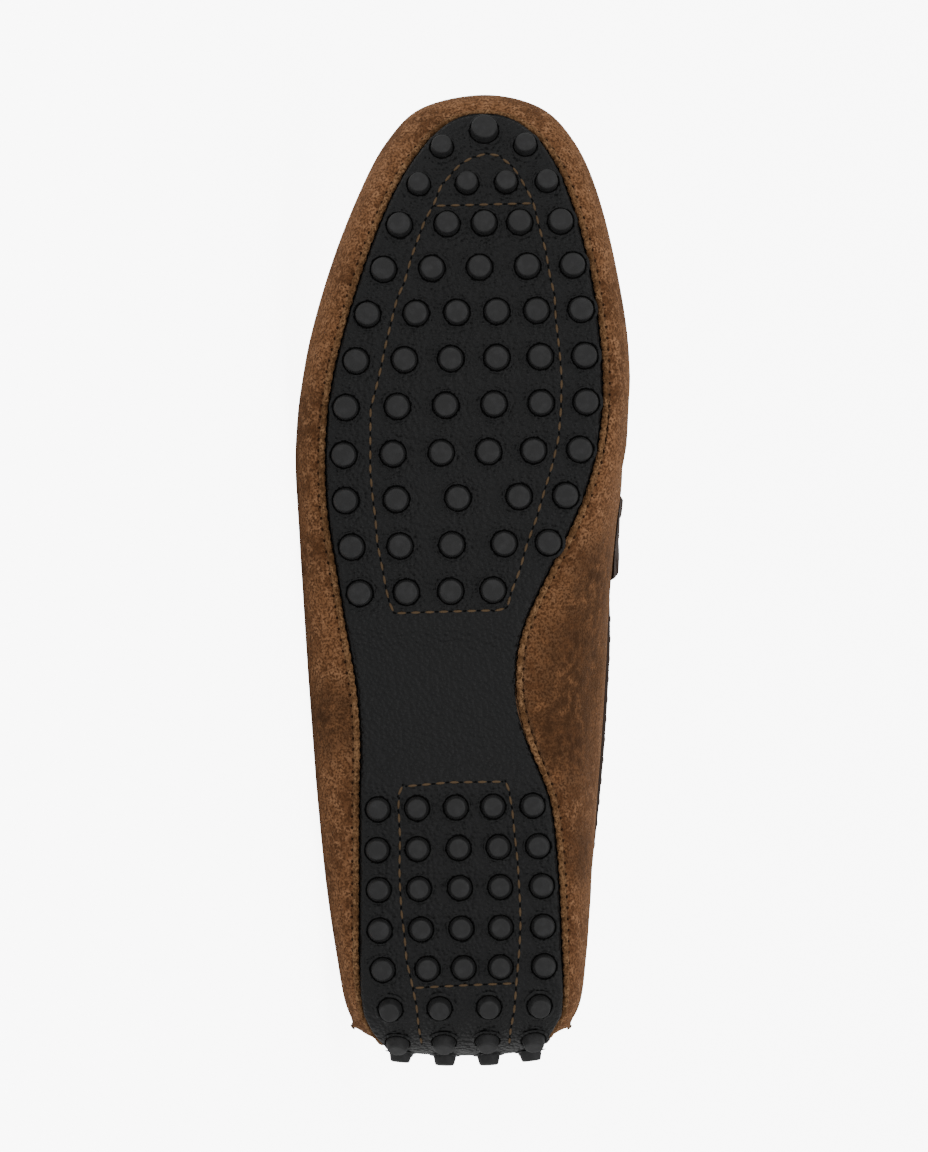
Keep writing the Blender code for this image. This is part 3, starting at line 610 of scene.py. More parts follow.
def full_height(y, on_tab):
    """Height of the leather's outer face above the suede."""
    over = 1 - smooth(y, HEEL_PLATE_FRONT + 2, WAIST_BACK) \
        * (1 - smooth(y, WAIST_FRONT, FORE_PLATE_BACK - 4))
    return np.where(on_tab, 2 * GAP + RUBBER + LEATHER, GAP + LEATHER + (RUBBER + GAP) * over)


def pad_points():
    """The feet of the leather on the suede, and its outer face, both as rows of points."""
    rows = pad_rows()
    even = np.linspace(0, 1, PAD_COLUMNS)
    shares = 0.35 * (0.5 - 0.5 * np.cos(even * math.pi)) + 0.65 * even
    feet = np.zeros((len(rows), PAD_COLUMNS, 3))
    tab = np.zeros((len(rows), PAD_COLUMNS), bool)
    for r, (y, z, aim, (lateral, medial)) in enumerate(rows):
        height = FLOOR_OF_TUB + spring(np.array(y))[0] + INSIDE if z is None else z
        for c, share in enumerate(shares):
            x = lateral + (medial - lateral) * share
            hit = TREE.ray_cast(Vector((x, y, height)), Vector(aim))[0]
            feet[r, c] = hit if hit is not None else feet[max(r - 1, 0), c]
        tab[r] = z is not None
    down = np.gradient(feet, axis=0)
    across = np.gradient(feet, axis=1)
    normals = np.cross(down, across)
    normals /= np.maximum(np.linalg.norm(normals, axis=2, keepdims=True), 1e-9)
    rim = np.concatenate((feet[1:, 0], feet[-1, 1:-1], feet[:0:-1, -1], feet[0, ::-1]))
    inside = np.empty(feet.shape[:2])
    for r in range(len(rows)):
        gaps = np.linalg.norm(feet[r][:, None] - rim[None], axis=2)
        inside[r] = gaps.min(axis=1)
    inside[:, 0] = 0
    inside[:, -1] = 0
    inside[0] = 0
    inside[-1] = 0
    t = np.clip(inside / EDGE_ROUND, 0, 1)
    profile = np.sqrt(np.clip(1 - (1 - t) ** 2, 0, 1))
    height = EDGE_HEIGHT + (full_height(feet[:, :, 1], tab) - EDGE_HEIGHT) * profile
    return feet, feet + normals * height[:, :, None]


def grid_faces(rows, columns, start=0):
    return [(start + r * columns + c, start + r * columns + c + 1,
             start + (r + 1) * columns + c + 1, start + (r + 1) * columns + c)
            for r in range(rows - 1) for c in range(columns - 1)]


def leather_material():
    """Black leather: fine pebbles over a soft mottle, and a satin finish."""
    made, tree, shader = new_material("pebbled leather", 0.5)
    place = tree.nodes.new("ShaderNodeTexCoord")
    pebbles = tree.nodes.new("ShaderNodeTexVoronoi")
    pebbles.feature = "SMOOTH_F1"
    pebbles.inputs["Scale"].default_value = 800.0
    pebbles.inputs["Smoothness"].default_value = 0.3
    tree.links.new(place.outputs["Object"], pebbles.inputs["Vector"])
    grain = tree.nodes.new("ShaderNodeBump")
    grain.inputs["Strength"].default_value = 0.8
    grain.inputs["Distance"].default_value = 0.0009
    grain.invert = True
    tree.links.new(pebbles.outputs["Distance"], grain.inputs["Height"])
    soft = add_relief(tree, 220.0, 4.0, 0.25)
    tree.links.new(soft.outputs["Normal"], grain.inputs["Normal"])
    tree.links.new(grain.outputs["Normal"], shader.inputs["Normal"])
    colour = add_mix(tree, soft.outputs["Mask"], (0.0014, 0.0014, 0.0016), (0.0034, 0.0036, 0.0038))
    tree.links.new(colour, shader.inputs["Base Color"])
    gloss = tree.nodes.new("ShaderNodeMapRange")
    gloss.inputs["To Min"].default_value = 0.44
    gloss.inputs["To Max"].default_value = 0.62
    tree.links.new(soft.outputs["Mask"], gloss.inputs["Value"])
    tree.links.new(gloss.outputs["Result"], shader.inputs["Roughness"])
    shader.inputs["Specular IOR Level"].default_value = 0.21
    return made


LEATHER_LOOK = leather_material()
FEET, PAD = pad_points()
PAD_FACES = grid_faces(*PAD.shape[:2])
sole_pad = shoe_mesh("sole_pad", PAD.reshape(-1, 3), PAD_FACES, LEATHER_LOOK)
PAD_TREE = BVHTree.FromPolygons([Vector(p) for p in PAD.reshape(-1, 3)], PAD_FACES)
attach(sole_pad, "root")
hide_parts("outsole")


# The studs: short round pegs of black rubber, moulded on a plate behind the leather, that come
# out through round holes in it. Each hole's rim is a soft lip of the leather.
StudRow = namedtuple("StudRow", "y xs")
Stud = namedtuple("Stud", "base tip hole")
ROW_SLANT = -0.0235
STUD_HEIGHT = 3.0
SHOULDER = 0.65
STUD_SIDES = 40
FORE_STUD = Stud(3.7, 3.3, 4.1)
SMALL_STUD = Stud(3.3, 3.0, 3.7)
LARGE_STUD = Stud(4.1, 3.8, 4.5)
HEEL_STUD = Stud(3.5, 2.9, 3.9)
TIP_STUD = (-6.3, 275.3)
FORE_ROWS = [StudRow(*row) for row in (
    (270.3, (6.3, -18.5)),
    (259.3, (13.1, -1.2, -12.8, -24.9)),
    (247.3, (18.8, 4.7, -6.3, -16.8, -28.9)),
    (234.2, (23.5, 9.2, -4.9, -19.1, -32.5)),
    (221.0, (28.2, 13.9, 1.8, -10.0, -21.8, -34.9)),
    (207.3, (31.6, 17.3, 3.6, -10.0, -22.9, -36.0)),
    (193.6, (34.6, 19.4, 5.1, -9.2, -23.1, -36.4)),
    (179.6, (35.2, 20.7, 6.4, -7.6, -20.9, -34.6)),
    (166.1, (34.7, 19.7, 1.5, -16.6, -30.4)),
    (152.3, (32.9, 18.6, 3.3, -12.2, -25.3)),
    (138.6, (30.5, 16.7, 3.6, -8.9)),
)]
HEEL_ROWS = [StudRow(*row) for row in (
    (74.6, (25.1, 13.6, 2.1, -8.9, -20.6)),
    (62.6, (25.3, 13.4, 1.3, -10.5, -22.2)),
    (50.8, (24.9, 13.0, 0.9, -11.0, -23.3)),
    (38.8, (24.6, 12.4, 0.5, -11.2, -23.7)),
    (27.1, (23.7, 10.5, -0.2, -11.1, -24.0)),
    (15.3, (21.5, 6.9, -7.7, -22.6)),
    (5.0, (19.4, 5.6, -7.2, -20.9)),
)]
TAB_ROWS = [StudRow(*row) for row in (
    (23.0, (18.5, 5.4, -7.6, -20.0)),
    (35.0, (17.5, 5.2, -7.4, -19.0)),
)]


def on_pad(x, y):
    """The point of the leather above x and y as seen from below, and its outward normal."""
    hit, normal, _, _ = PAD_TREE.ray_cast(Vector((x, y, -50.0)), Vector((0, 0, 1)))
    if hit is None:
        hit, normal, _, _ = PAD_TREE.find_nearest(Vector((x, y, 5.0)))
    return hit, normal if normal.z < 0 else -normal


def seats():
    fore = [(*on_pad(*TIP_STUD), LARGE_STUD)]
    for number, row in enumerate(FORE_ROWS):
        stud = SMALL_STUD if number < 2 else FORE_STUD
        fore += [(*on_pad(x, row.y + ROW_SLANT * x), stud) for x in row.xs]
    heel = [(*on_pad(x, row.y + ROW_SLANT * x), HEEL_STUD) for row in HEEL_ROWS for x in row.xs]
    for row in TAB_ROWS:
        for x in row.xs:
            hit, normal, _, _ = PAD_TREE.ray_cast(Vector((x, -50, row.y)), Vector((0, 1, 0)))
            heel.append((hit, normal if normal.y < 0 else -normal, HEEL_STUD))
    return fore, heel


def lathe(profile, place, start):
    """Points and faces of a turned shape, its profile given as radius and height."""
    points = []
    faces = []
    for radius, height in profile:
        for k in range(STUD_SIDES):
            angle = 2 * math.pi * k / STUD_SIDES
            points.append(place @ Vector((radius * math.cos(angle), radius * math.sin(angle),
                                          height)))
    for low in range(start, start + STUD_SIDES * (len(profile) - 1), STUD_SIDES):
        faces += bridge(range(low, low + STUD_SIDES),
                        range(low + STUD_SIDES, low + 2 * STUD_SIDES))
    return points, faces


def turned_set(name, places, profile_of, look, capped=True):
    """One mesh of many turned shapes."""
    points = []
    faces = []
    for hit, normal, stud in places:
        place = Matrix.Translation(hit) @ normal.to_track_quat("Z", "Y").to_matrix().to_4x4()
        start = len(points)
        more, shell = lathe(profile_of(stud), place, start)
        points += more
        faces += shell
        if capped:
            faces.append(tuple(range(len(points) - STUD_SIDES, len(points))))
    return shoe_mesh(name, points, faces, look)


def stud_profile(stud):
    shoulder = stud.tip - SHOULDER
    profile = [(stud.base, -0.6), (stud.base, 0.0), (stud.tip + 0.05, STUD_HEIGHT - SHOULDER)]
    for angle in (18, 36, 54, 72, 90):
        turn = math.radians(angle)
        profile.append((shoulder + SHOULDER * math.cos(turn),
                        STUD_HEIGHT - SHOULDER + SHOULDER * math.sin(turn)))
    profile += [(shoulder * 0.9, STUD_HEIGHT + 0.02), (shoulder * 0.5, STUD_HEIGHT + 0.02)]
    return profile


# A flat near-black ring in the gap between each peg and its hole: painted shade.
def hole_shade_profile(stud):
    return [(stud.base - 0.2, 0.05), (stud.hole - 0.05, 0.05)]


def lip_profile(stud):
    return [(stud.hole - 0.06, -0.2), (stud.hole - 0.05, 0.08), (stud.hole + 0.15, 0.2),
            (stud.hole + 0.5, 0.13), (stud.hole + 0.95, -0.1)]


def rubber_material():
    """Dull black rubber with a little dust."""
    return grained_material("stud rubber", 0.6, (500.0, 4.0, 0.12), (0.0066, 0.0066, 0.0068),
                            (0.014, 0.014, 0.0145), 0.3, (0.4, 0.8))


def plain_material(name, colour, roughness):
    return grained_material(name, roughness, (900.0, 3.0, 0.1), darker(colour, 0.7), colour, 0.1)


FORE_SEATS, HEEL_SEATS = seats()
RUBBER_LOOK = rubber_material()
# Near black, for painted shade in the stud holes, in the gap by the bead and in the stitch pits.
PAINTED_SHADE_LOOK = plain_material("shadowed hole", (0.0015, 0.0015, 0.0015), 1.0)
for name, places, node in (("forefoot_pegs", FORE_SEATS, "forefoot_studs"),
                           ("heel_pegs", HEEL_SEATS, "heel_studs")):
    pegs = turned_set(name, places, stud_profile, RUBBER_LOOK)
    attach(pegs, "root")
    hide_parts(node)
# Painted shade in the gap round each peg.
stud_holes = turned_set("stud_holes", FORE_SEATS + HEEL_SEATS, hole_shade_profile, PAINTED_SHADE_LOOK, False)
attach(stud_holes, "root")
hole_lips = turned_set("hole_lips", FORE_SEATS + HEEL_SEATS, lip_profile, LEATHER_LOOK, False)
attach(hole_lips, "root")


# The welt: the suede is drawn up into a thin pale bead all round the pad and sewn through it, so
# the bead is scalloped; a dark line of painted shade runs in the gap inside it, and a row of
# needle holes, also painted shade, runs outside.
BEAD_OUT = 1.05
BEAD_LIFT = 0.75
BEAD_RADIUS = 0.95
BEAD_PITCH = 3.3
HOLES_OUT = 2.25
BEAD_WAVE = (0.74, 0.34)  # share of the radius at the needle holes, and what is added between
DARK_OUT = 0.15
DARK_RADIUS = 0.34
NEEDLE = (0.46, 0.32, 0.26)
BLOB_RINGS = 6
FOOT_LINE = (-2.0, 16.0)  # x and height of a line that runs inside the shoe
FOOT_ENDS = (30.0, 262.0)
RIM_STEP = 0.55


def resampled(path, step):
    """The same path with its points evenly apart."""
    path = np.asarray(path, float)
    lengths = np.concatenate(([0], np.cumsum(np.linalg.norm(np.diff(path, axis=0), axis=1))))
    at = np.linspace(0, lengths[-1], max(int(lengths[-1] / step), 2))
    return np.stack([np.interp(at, lengths, path[:, k]) for k in range(3)], axis=1)


def softened(path, rounds=6):
    for _ in range(rounds):
        path[1:-1] = 0.25 * path[:-2] + 0.5 * path[1:-1] + 0.25 * path[2:]
    return path


def rim_line(out):
    """A line on the suede all round the pad, this far outside its edge."""
    lateral = FEET[::-1, 0]
    medial = FEET[:, -1]
    tab = FEET[-1, ::-1]
    path = np.concatenate((lateral, medial, tab))
    path = softened(resampled(path, RIM_STEP))
    along = np.roll(path, -1, axis=0) - np.roll(path, 1, axis=0)
    along /= np.linalg.norm(along, axis=1, keepdims=True)
    line = []
    normals = []
    for point, way in zip(path, along):
        _, normal, _, _ = TREE.find_nearest(Vector(point))
        inner = Vector((FOOT_LINE[0], np.clip(point[1], *FOOT_ENDS), FOOT_LINE[1]))
        normal = normal if normal.dot(Vector(point) - inner) > 0 else -normal
        side = normal.cross(Vector(way)).normalized()
        hit, at_normal, _, _ = TREE.find_nearest(Vector(point) + side * out)
        at_normal = at_normal if at_normal.dot(normal) > 0 else -at_normal
        line.append(hit)
        normals.append(at_normal)
    return np.array(line), np.array(normals)


def tube(path, normals, radius, sides):
    """A tube along a closed path, its radius given for each point."""
    points = []
    faces = []
    count = len(path)
    along = np.roll(path, -1, axis=0) - np.roll(path, 1, axis=0)
    along /= np.linalg.norm(along, axis=1, keepdims=True)
    across = np.cross(along, normals)
    across /= np.linalg.norm(across, axis=1, keepdims=True)
    up = np.cross(across, along)
    for i in range(count):
        for k in range(sides):
            angle = 2 * math.pi * k / sides
            points.append(path[i] + radius[i] * (across[i] * math.cos(angle)
                                                 + up[i] * math.sin(angle)))
    for i in range(count):
        low = [i * sides + k for k in range(sides)]
        high = [(i + 1) % count * sides + k for k in range(sides)]
        faces += bridge(low, high)
    return points, faces


def blobs(name, places, look, sides=8):
    """Small ellipsoids: each place is a middle, its long way, its normal and three half sizes."""
    points = []
    faces = []
    for middle, way, normal, (long, wide, high) in places:
        way = Vector(way).normalized()
        normal = Vector(normal).normalized()
        across = normal.cross(way).normalized()
        start = len(points)
        for j in range(BLOB_RINGS + 1):
            polar = math.pi * j / BLOB_RINGS
            for k in range(sides):
                angle = 2 * math.pi * k / sides
                points.append(Vector(middle) + way * long * math.cos(polar)
                              + across * wide * math.sin(polar) * math.cos(angle)
                              + normal * high * math.sin(polar) * math.sin(angle))
        for j in range(BLOB_RINGS):
            low = [start + j * sides + k for k in range(sides)]
            high_ring = [start + (j + 1) * sides + k for k in range(sides)]
            faces += bridge(low, high_ring)
    return shoe_mesh(name, points, faces, look)


BEAD_LOOK = suede_material("bead suede", (0.085, 0.04, 0.016), (0.15, 0.076, 0.034),
                           (0.22, 0.122, 0.06))
# Dark brown for the needle holes: painted shade in the holes.
NEEDLE_SHADE_LOOK = plain_material("needle hole", (0.034, 0.016, 0.008), 1.0)
bead_line, bead_normals = rim_line(BEAD_OUT)
phase = np.arange(len(bead_line)) * RIM_STEP / BEAD_PITCH * math.pi
bead_radius = BEAD_RADIUS * (BEAD_WAVE[0] + BEAD_WAVE[1] * np.abs(np.sin(phase)))
suede_bead = shoe_mesh("suede_bead", *tube(bead_line + bead_normals * BEAD_LIFT, bead_normals,
                                           bead_radius, 12), BEAD_LOOK)
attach(suede_bead, "root")
# A thin near-black tube in the gap between the bead and the pad: painted shade.
gap_line, gap_normals = rim_line(DARK_OUT)
gap_shade_line = shoe_mesh("gap_shade_line", *tube(gap_line, gap_normals,
                                       np.full(len(gap_line), DARK_RADIUS), 6), PAINTED_SHADE_LOOK)
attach(gap_shade_line, "root")
# The needle holes are dark blobs of painted shade.
needle_line, needle_normals = rim_line(HOLES_OUT)
needle_places = []
for i in range(0, len(needle_line) - 1, round(BEAD_PITCH / RIM_STEP)):
    way = needle_line[i + 1] - needle_line[i]
    needle_places.append((needle_line[i], way, needle_normals[i], NEEDLE))
needle_holes = blobs("needle_holes", needle_places, NEEDLE_SHADE_LOOK)
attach(needle_holes, "root")


# The panel stitches: brown waxed thread that outlines the forefoot and the heel, through both
# the leather and the plates under it. The paths are in the shoe's x and y.
STITCH_PITCH = 4.15
STITCH_LONG = 1.35
STITCH_THICK = 0.39
PIT_INSET = 0.25
PIT = (0.36, 0.3, 0.08)
FORE_PATH = (
    (20.2, 132.0), (21.3, 134.0), (22.6, 138.5), (23.8, 145.0), (25.3, 152.5), (25.9, 160.0),
    (26.8, 167.0), (27.4, 174.0), (27.4, 185.0), (27.3, 192.5), (25.6, 199.0), (24.4, 204.0),
    (22.6, 212.5), (20.9, 219.3), (19.5, 225.0), (17.3, 230.0), (15.2, 237.5), (13.4, 242.6),
    (11.3, 248.2), (8.6, 253.2), (6.6, 258.4), (1.5, 264.5), (-1.8, 266.7), (-6.3, 268.2),
    (-10.1, 267.9), (-13.1, 265.8), (-15.2, 263.7), (-17.6, 259.9), (-20.0, 255.4),
    (-20.9, 253.3), (-22.6, 246.1), (-24.4, 239.6), (-25.6, 232.4), (-27.1, 225.9),
    (-27.4, 219.3), (-28.6, 208.9), (-29.2, 201.2), (-28.9, 191.6), (-28.2, 183.6),
    (-26.4, 175.8), (-23.8, 167.2), (-21.8, 160.3), (-18.8, 152.0), (-16.7, 144.5),
    (-14.3, 138.3), (-13.1, 133.8), (-10.4, 132.9), (4.5, 132.5), (20.2, 132.0),
)
CROSS_PATH = ((8.6, 252.6), (-6.0, 253.0), (-20.9, 253.4))
HEEL_PATH = (
    (17.0, 80.8), (3.9, 82.0), (-12.5, 82.2), (-13.4, 80.2), (-14.5, 74.5), (-15.2, 67.1),
    (-16.2, 58.1), (-16.8, 47.4), (-17.0, 40.2), (-16.7, 33.1), (-15.8, 22.9), (-15.2, 14.9),
    (-14.0, 7.8), (-13.7, 4.0),
)
HEEL_PATH_OUTER = (
    (17.0, 80.8), (18.6, 79.9), (19.1, 74.8), (18.6, 65.6), (18.8, 56.0), (18.6, 51.0),
    (18.2, 43.8), (17.3, 36.7), (16.7, 29.4), (15.2, 23.0), (13.7, 15.5), (13.1, 9.2),
    (12.2, 4.0),
)
HEEL_CROSS = ((14.9, 21.2), (0.0, 22.0), (-15.2, 22.6))


def stitch_places(path):
    """Where each stitch lies on the leather: middle, way, normal and half sizes."""
    flat = resampled([(x, y, 0.0) for x, y in path], 0.5)
    flat = softened(flat, 3)
    raised_path = []
    for x, y, _ in flat:
        hit, normal = on_pad(x, y)
        raised_path.append(tuple(hit) + tuple(normal))
    raised_path = np.array(raised_path)
    lengths = np.concatenate(([0], np.cumsum(np.linalg.norm(
        np.diff(raised_path[:, :3], axis=0), axis=1))))
    number = max(round(lengths[-1] / STITCH_PITCH), 1)
    places = []
    for k in range(number):
        at = (k + 0.5) * lengths[-1] / number
        near = [np.interp(at, lengths, raised_path[:, j]) for j in range(6)]
        ahead = [np.interp(at + 0.6, lengths, raised_path[:, j]) for j in range(3)]
        behind = [np.interp(at - 0.6, lengths, raised_path[:, j]) for j in range(3)]
        way = np.array(ahead) - np.array(behind)
        places.append((np.array(near[:3]), way, np.array(near[3:]),
                       (STITCH_LONG, STITCH_THICK, STITCH_THICK)))
    return places


THREAD_LOOK = plain_material("brown thread", (0.092, 0.06, 0.033), 0.8)
stitches = []
for path in (FORE_PATH, CROSS_PATH, HEEL_PATH, HEEL_PATH_OUTER, HEEL_CROSS):
    stitches += stitch_places(path)
panel_stitches = blobs("panel_stitches", stitches, THREAD_LOOK)
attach(panel_stitches, "root")
# Pits of painted shade at either end of each stitch, where the thread goes into the leather.
pits = []
for middle, way, normal, _ in stitches:
    way = np.array(way) / np.linalg.norm(way)
    for end in (-1, 1):
        pits.append((middle + way * end * (STITCH_PITCH / 2 - PIT_INSET), way, normal, PIT))
stitch_pit_shade = blobs("stitch_pit_shade", pits, PAINTED_SHADE_LOOK, 6)
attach(stitch_pit_shade, "root")


# The hand-sewn seams of the upper: thick thread over the raised seam round the apron, and over
# the two short seams beside the heel tab.
SEAM_PITCH = 4.4
SEWN_FROM = 172.0
APRON_STITCH = (1.6, 0.5, 0.5)
HEEL_STITCH = (1.0, 0.45, 0.4)


def seam_stitches():
    places = []
    travelled = 0.0
    last = None
    for i in sorted(SEAM):
        crest = raised[SEAM[i][2]]
        if last is not None:
            travelled += float(np.linalg.norm(crest - last))
        last = crest
        if travelled >= SEAM_PITCH and crest[1] > SEWN_FROM:
            travelled = 0.0
            way = raised[SEAM[i][4]] - raised[SEAM[i][0]]
            normal = NORMALS[SEAM[i][2]]
            places.append((crest + normal * 0.1, way, normal, APRON_STITCH))
    for section in (HEEL_SEAM, RING - HEEL_SEAM):
        i = round(section * FINE)
        for k in range(14, len(RINGS) - 6, 2):
            number = RINGS[k][i]
            way = raised[RINGS[k][i + 1]] - raised[RINGS[k][i - 1]]
            places.append((raised[number], way, NORMALS[number], HEEL_STITCH))
    return places


seam_thread = blobs("seam_thread", seam_stitches(), THREAD_LOOK)
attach(seam_thread, "root")


# The saddle strap: dark brown leather plaited into a band across the instep, its ends tucked into
# the sides of the tub.
STRAP_GAP = 0.7
STRAP_THICK = 1.3
PLAIT = 1.15
STRAP_TUCK = 4.0          # its ends thin out over this length
PLAIT_LENGTH = 9.4        # of one crossing along the band
LATERAL_TUCK = 1.71       # levels of the tub where its two ends are tucked in
MEDIAL_TUCK = 1.2
STRAP_EDGE = 0.06         # share of the width that is rounded at either edge
PLAIT_ROUND = 0.6
STRAP_ROWS = 49
STRAP_COLUMNS = 260
STRANDS = 3               # across the band
UNDER_STRAND = 0.82       # height of a strand that passes under, beside one that passes over


def strap_grid():
    """The band's middle surface: rows across its width, columns along its length."""
    lateral_levels = [k for k, v in enumerate(LEVELS) if LATERAL_TUCK <= v < 2]
    medial_levels = [k for k, v in enumerate(LEVELS) if MEDIAL_TUCK <= v < 2]
    rows = []
    for i in range(round(THROAT * FINE), round((THROAT + 1.0) * FINE) + 1):
        numbers = [RINGS[k][i] for k in lateral_levels] + SEAM[i][:-1] + COLUMNS[i]
        numbers += SEAM[len(U) - i][:-1][::-1]
        numbers += [RINGS[k][len(U) - i] for k in reversed(medial_levels)]
        rows.append(numbers)
    return np.array(rows)


def fine_grid(grid, rows, columns):
    """The grid read at more rows and columns, evenly along the length, and its length."""
    lengths = np.linalg.norm(np.diff(grid[len(grid) // 2], axis=0), axis=1)
    at = np.concatenate(([0], np.cumsum(lengths)))
    wanted = np.linspace(0, at[-1], columns)
    long = np.stack([np.stack([np.interp(wanted, at, row[:, k]) for k in range(3)], axis=1)
                     for row in grid])
    across = np.linspace(0, len(grid) - 1, rows)
    low = np.minimum(across.astype(int), len(grid) - 2)
    t = (across - low)[:, None, None]
    return long[low] * (1 - t) + long[low + 1] * t, at[-1]


def plait(length):
    """Height of the plait over the band, from 0 to 1: strands over and under by turns."""
    s = np.linspace(0, STRANDS, STRAP_ROWS)[:, None]
    t = np.linspace(0, length / PLAIT_LENGTH * 2, STRAP_COLUMNS)[None, :]
    one_way = np.sin(math.pi * (s + t) / 2)
    other_way = np.sin(math.pi * (s - t) / 2)
    return np.where(one_way * other_way > 0, np.abs(one_way) ** PLAIT_ROUND,
                    UNDER_STRAND * np.abs(other_way) ** PLAIT_ROUND)


def plaited_strap(look):
    middle, length = fine_grid(POINTS[strap_grid()], STRAP_ROWS, STRAP_COLUMNS)
    for _ in range(8):
        middle[:, 1:-1] = 0.25 * middle[:, :-2] + 0.5 * middle[:, 1:-1] + 0.25 * middle[:, 2:]
    out = np.cross(np.gradient(middle, axis=0), np.gradient(middle, axis=1))
    out /= np.linalg.norm(out, axis=2, keepdims=True)
    across = np.linspace(0, 1, STRAP_ROWS)
    rim = np.minimum(across, 1 - across)[:, None]
    along = np.linspace(0, length, STRAP_COLUMNS)
    end = np.minimum(along, length - along)[None, :]
    fold = np.sqrt(np.clip(rim / STRAP_EDGE, 0, 1)) * np.sqrt(np.clip(end / STRAP_TUCK, 0.05, 1))
    height = STRAP_GAP + (STRAP_THICK + PLAIT * plait(length)) * fold
    high = middle + out * height[:, :, None]
    low = middle + out * (STRAP_GAP - 0.1)
    rows, columns = STRAP_ROWS, STRAP_COLUMNS
    size = rows * columns
    points = np.concatenate((high.reshape(-1, 3), low.reshape(-1, 3)))
    faces = grid_faces(rows, columns) + grid_faces(rows, columns, size)
    border = list(range(columns)) + [r * columns + columns - 1 for r in range(1, rows)]
    border += [(rows - 1) * columns + c for c in range(columns - 2, -1, -1)]
    border += [r * columns for r in range(rows - 2, 0, -1)]
    faces += bridge(border, [number + size for number in border])
    return shoe_mesh("plaited_strap", points, faces, look)


def dark_leather(name, colour, roughness):
    return grained_material(name, roughness, (1400.0, 4.0, 0.4), darker(colour, 0.55), colour,
                            0.25, (0.3, 0.7))


saddle = plaited_strap(dark_leather("plaited leather", (0.036, 0.017, 0.009), 0.55))
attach(saddle, "root")
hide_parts("saddle_strap")


# The collar binding: a strip of thin dark leather folded over the topline and stitched down.
BINDING = 0.75
BINDING_LEAF = 4.0
FOLD_GAP = 0.15
EDGE_STITCH = (0.95, 0.2, 0.2)


def binding_shape():
    count = len(U)
    throat = round(THROAT * FINE) + 3
    points = []
    stitches = []
    numbers = range(-throat, throat + 1)
    for number in numbers:
        i = number % count
        top = POINTS[RINGS[-1][i]]
        below = POINTS[RINGS[-5][i]]
        out = NORMALS[RINGS[-1][i]]
        up = (top - below) / np.linalg.norm(top - below)
        inner = top - out * SUEDE_WALL
        thick = FOLD_GAP + BINDING
        low = top - up * BINDING_LEAF
        inner_low = inner - up * BINDING_LEAF
        middle = top - out * SUEDE_WALL / 2
        section = [low + out * 0.05, low + out * thick * 0.8, low + up * 0.6 + out * thick,
                   top + out * thick]
        for angle in range(20, 180, 20):
            turn = math.radians(angle)
            section.append(middle + out * math.cos(turn) * (SUEDE_WALL / 2 + thick)
                           + up * math.sin(turn) * thick)
        section += [inner - out * thick, inner_low + up * 0.6 - out * thick,
                    inner_low - out * thick * 0.8, inner_low - out * 0.05]
        points += section
        if number % 2 == 0:
            stitches.append((low + up * 1.3 + out * (thick + 0.02), out))
    size = len(points) // len(numbers)
    faces = []
    for i in range(len(numbers) - 1):
        faces += bridge(list(range(i * size, (i + 1) * size)),
                        list(range((i + 1) * size, (i + 2) * size)))
    faces.append(tuple(range(size)))
    faces.append(tuple(range(len(points) - size, len(points))))
    return points, faces, stitches


binding_points, binding_faces, binding_stitches = binding_shape()
binding = shoe_mesh("binding", binding_points, binding_faces,
                    dark_leather("binding leather", (0.03, 0.015, 0.009), 0.55))
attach(binding, "root")
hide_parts("collar_binding")
edge_places = []
for (middle, out), (ahead, _) in zip(binding_stitches, binding_stitches[1:]):
    edge_places.append((middle, ahead - middle, out, EDGE_STITCH))
binding_thread = blobs("binding_thread", edge_places, THREAD_LOOK, 6)
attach(binding_thread, "root")


# The tongue and the sock: a short suede tongue under the strap, and a tan leather sock that
# covers the inside underfoot. Their solids have the right form and keep it.
def keep(node, look):
    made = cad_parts[node]
    made.data.materials.clear()
    made.data.materials.append(look)


keep("tongue", suede_material("tongue suede", (0.06, 0.029, 0.014), (0.11, 0.058, 0.028),
                              (0.16, 0.09, 0.048)))
keep("insole", dark_leather("sock leather", (0.24, 0.13, 0.065), 0.55))


# The stage: a wide pale floor, an even white sky and two large soft lights.
SKY = 1.0
FLOOR_SIZE = 60.0
FLOOR_GLOW = 0.25        # light that the floor gives the shoe
FLOOR_SEEN = 7.5         # what the camera sees on top of that, so the ground is near white
LIGHTS = (
    ("high_light", (0.5, -0.9, 1.7), 1.4, 11.0),
    ("side_light", (-1.2, -1.4, 1.0), 1.2, 7.0),
)


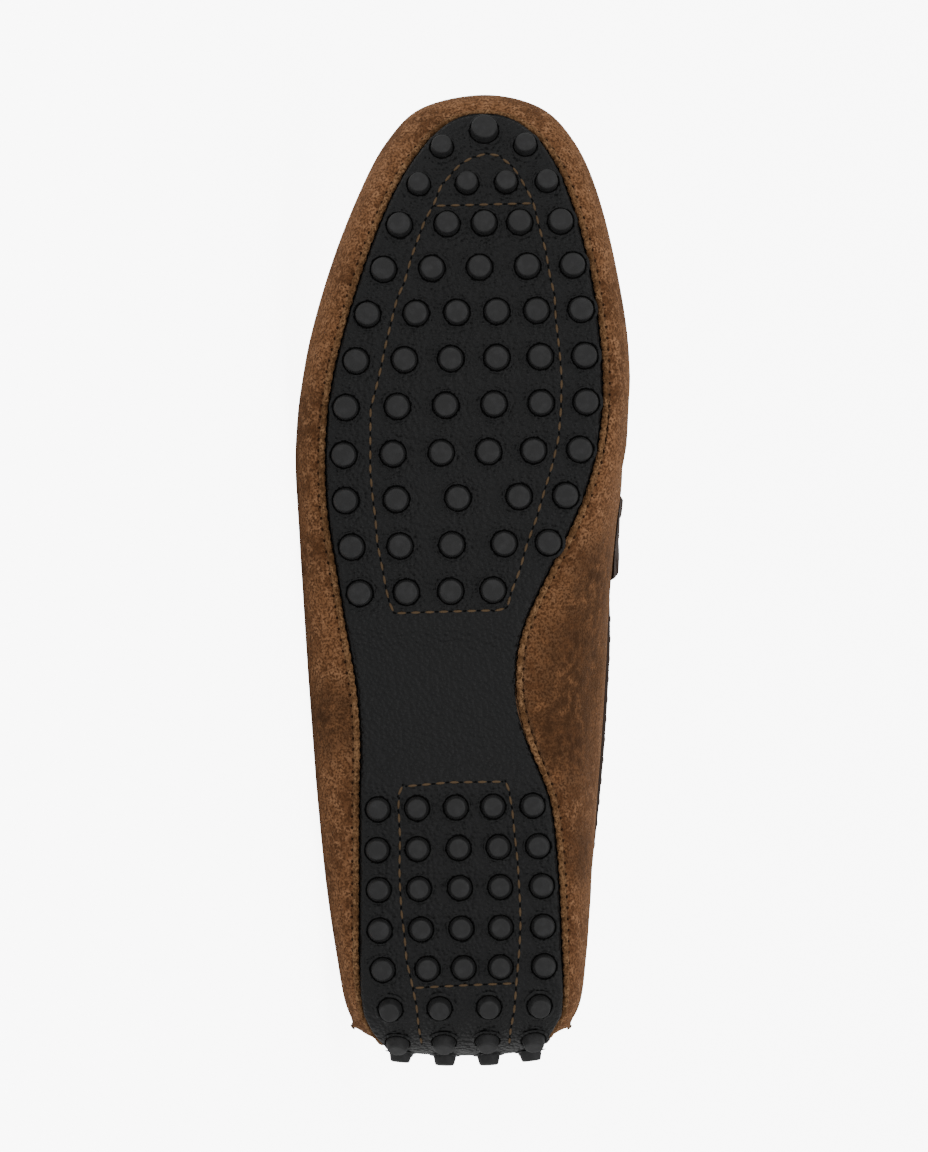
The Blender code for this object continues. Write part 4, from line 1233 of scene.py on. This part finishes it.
def floor_material():
    made, tree, shader = new_material("pale floor", 0.9)
    shader.inputs["Base Color"].default_value = (0.93, 0.93, 0.93, 1.0)
    shader.inputs["Specular IOR Level"].default_value = 0.05
    shader.inputs["Emission Color"].default_value = (1.0, 1.0, 1.0, 1.0)
    rays = tree.nodes.new("ShaderNodeLightPath")
    glow = tree.nodes.new("ShaderNodeMapRange")
    glow.inputs["To Min"].default_value = FLOOR_GLOW
    glow.inputs["To Max"].default_value = FLOOR_GLOW + FLOOR_SEEN
    tree.links.new(rays.outputs["Is Camera Ray"], glow.inputs["Value"])
    tree.links.new(glow.outputs["Result"], shader.inputs["Emission Strength"])
    return made


bpy.ops.mesh.primitive_plane_add(size=FLOOR_SIZE, location=(0, 20, 0))
floor = bpy.context.object
floor.name = "floor"
floor.data.materials.append(floor_material())
world = bpy.data.worlds.new("sky")
bpy.context.scene.world = world
world.use_nodes = True
world.node_tree.nodes["Background"].inputs["Color"].default_value = (1.0, 1.0, 1.0, 1.0)
world.node_tree.nodes["Background"].inputs["Strength"].default_value = SKY
for name, place, size, power in LIGHTS:
    light = bpy.data.lights.new(name, "AREA")
    light.size = size
    light.energy = power
    made = bpy.data.objects.new(name, light)
    bpy.context.scene.collection.objects.link(made)
    made.location = place
    made.rotation_euler = (Vector((0, 0, 0.05)) - Vector(place)).to_track_quat("-Z", "Y").to_euler()


# The camera: square to the sole with the toe up, as in the photograph, so it is rolled on its side.
CAMERA_AWAY = 2.6
SEEN_HEIGHT = 0.3408
SEEN_MIDDLE = (-0.3, 143.0, 5.0)
SENSOR = 24.0
target = LYING @ (Vector(SEEN_MIDDLE) * MM)
turn = LYING.to_3x3()
right = -(turn @ Vector((1, 0, 0))).normalized()
up = (turn @ Vector((0, 1, 0))).normalized()
back = -(turn @ Vector((0, 0, 1))).normalized()
lens = bpy.data.cameras.new("camera")
lens.sensor_fit = "VERTICAL"
lens.sensor_height = SENSOR
lens.lens = SENSOR * CAMERA_AWAY / SEEN_HEIGHT
camera = bpy.data.objects.new("camera", lens)
bpy.context.scene.collection.objects.link(camera)
facing = Matrix((right, up, back)).transposed().to_4x4()
camera.matrix_world = Matrix.Translation(target + back * CAMERA_AWAY) @ facing
bpy.context.scene.camera = camera
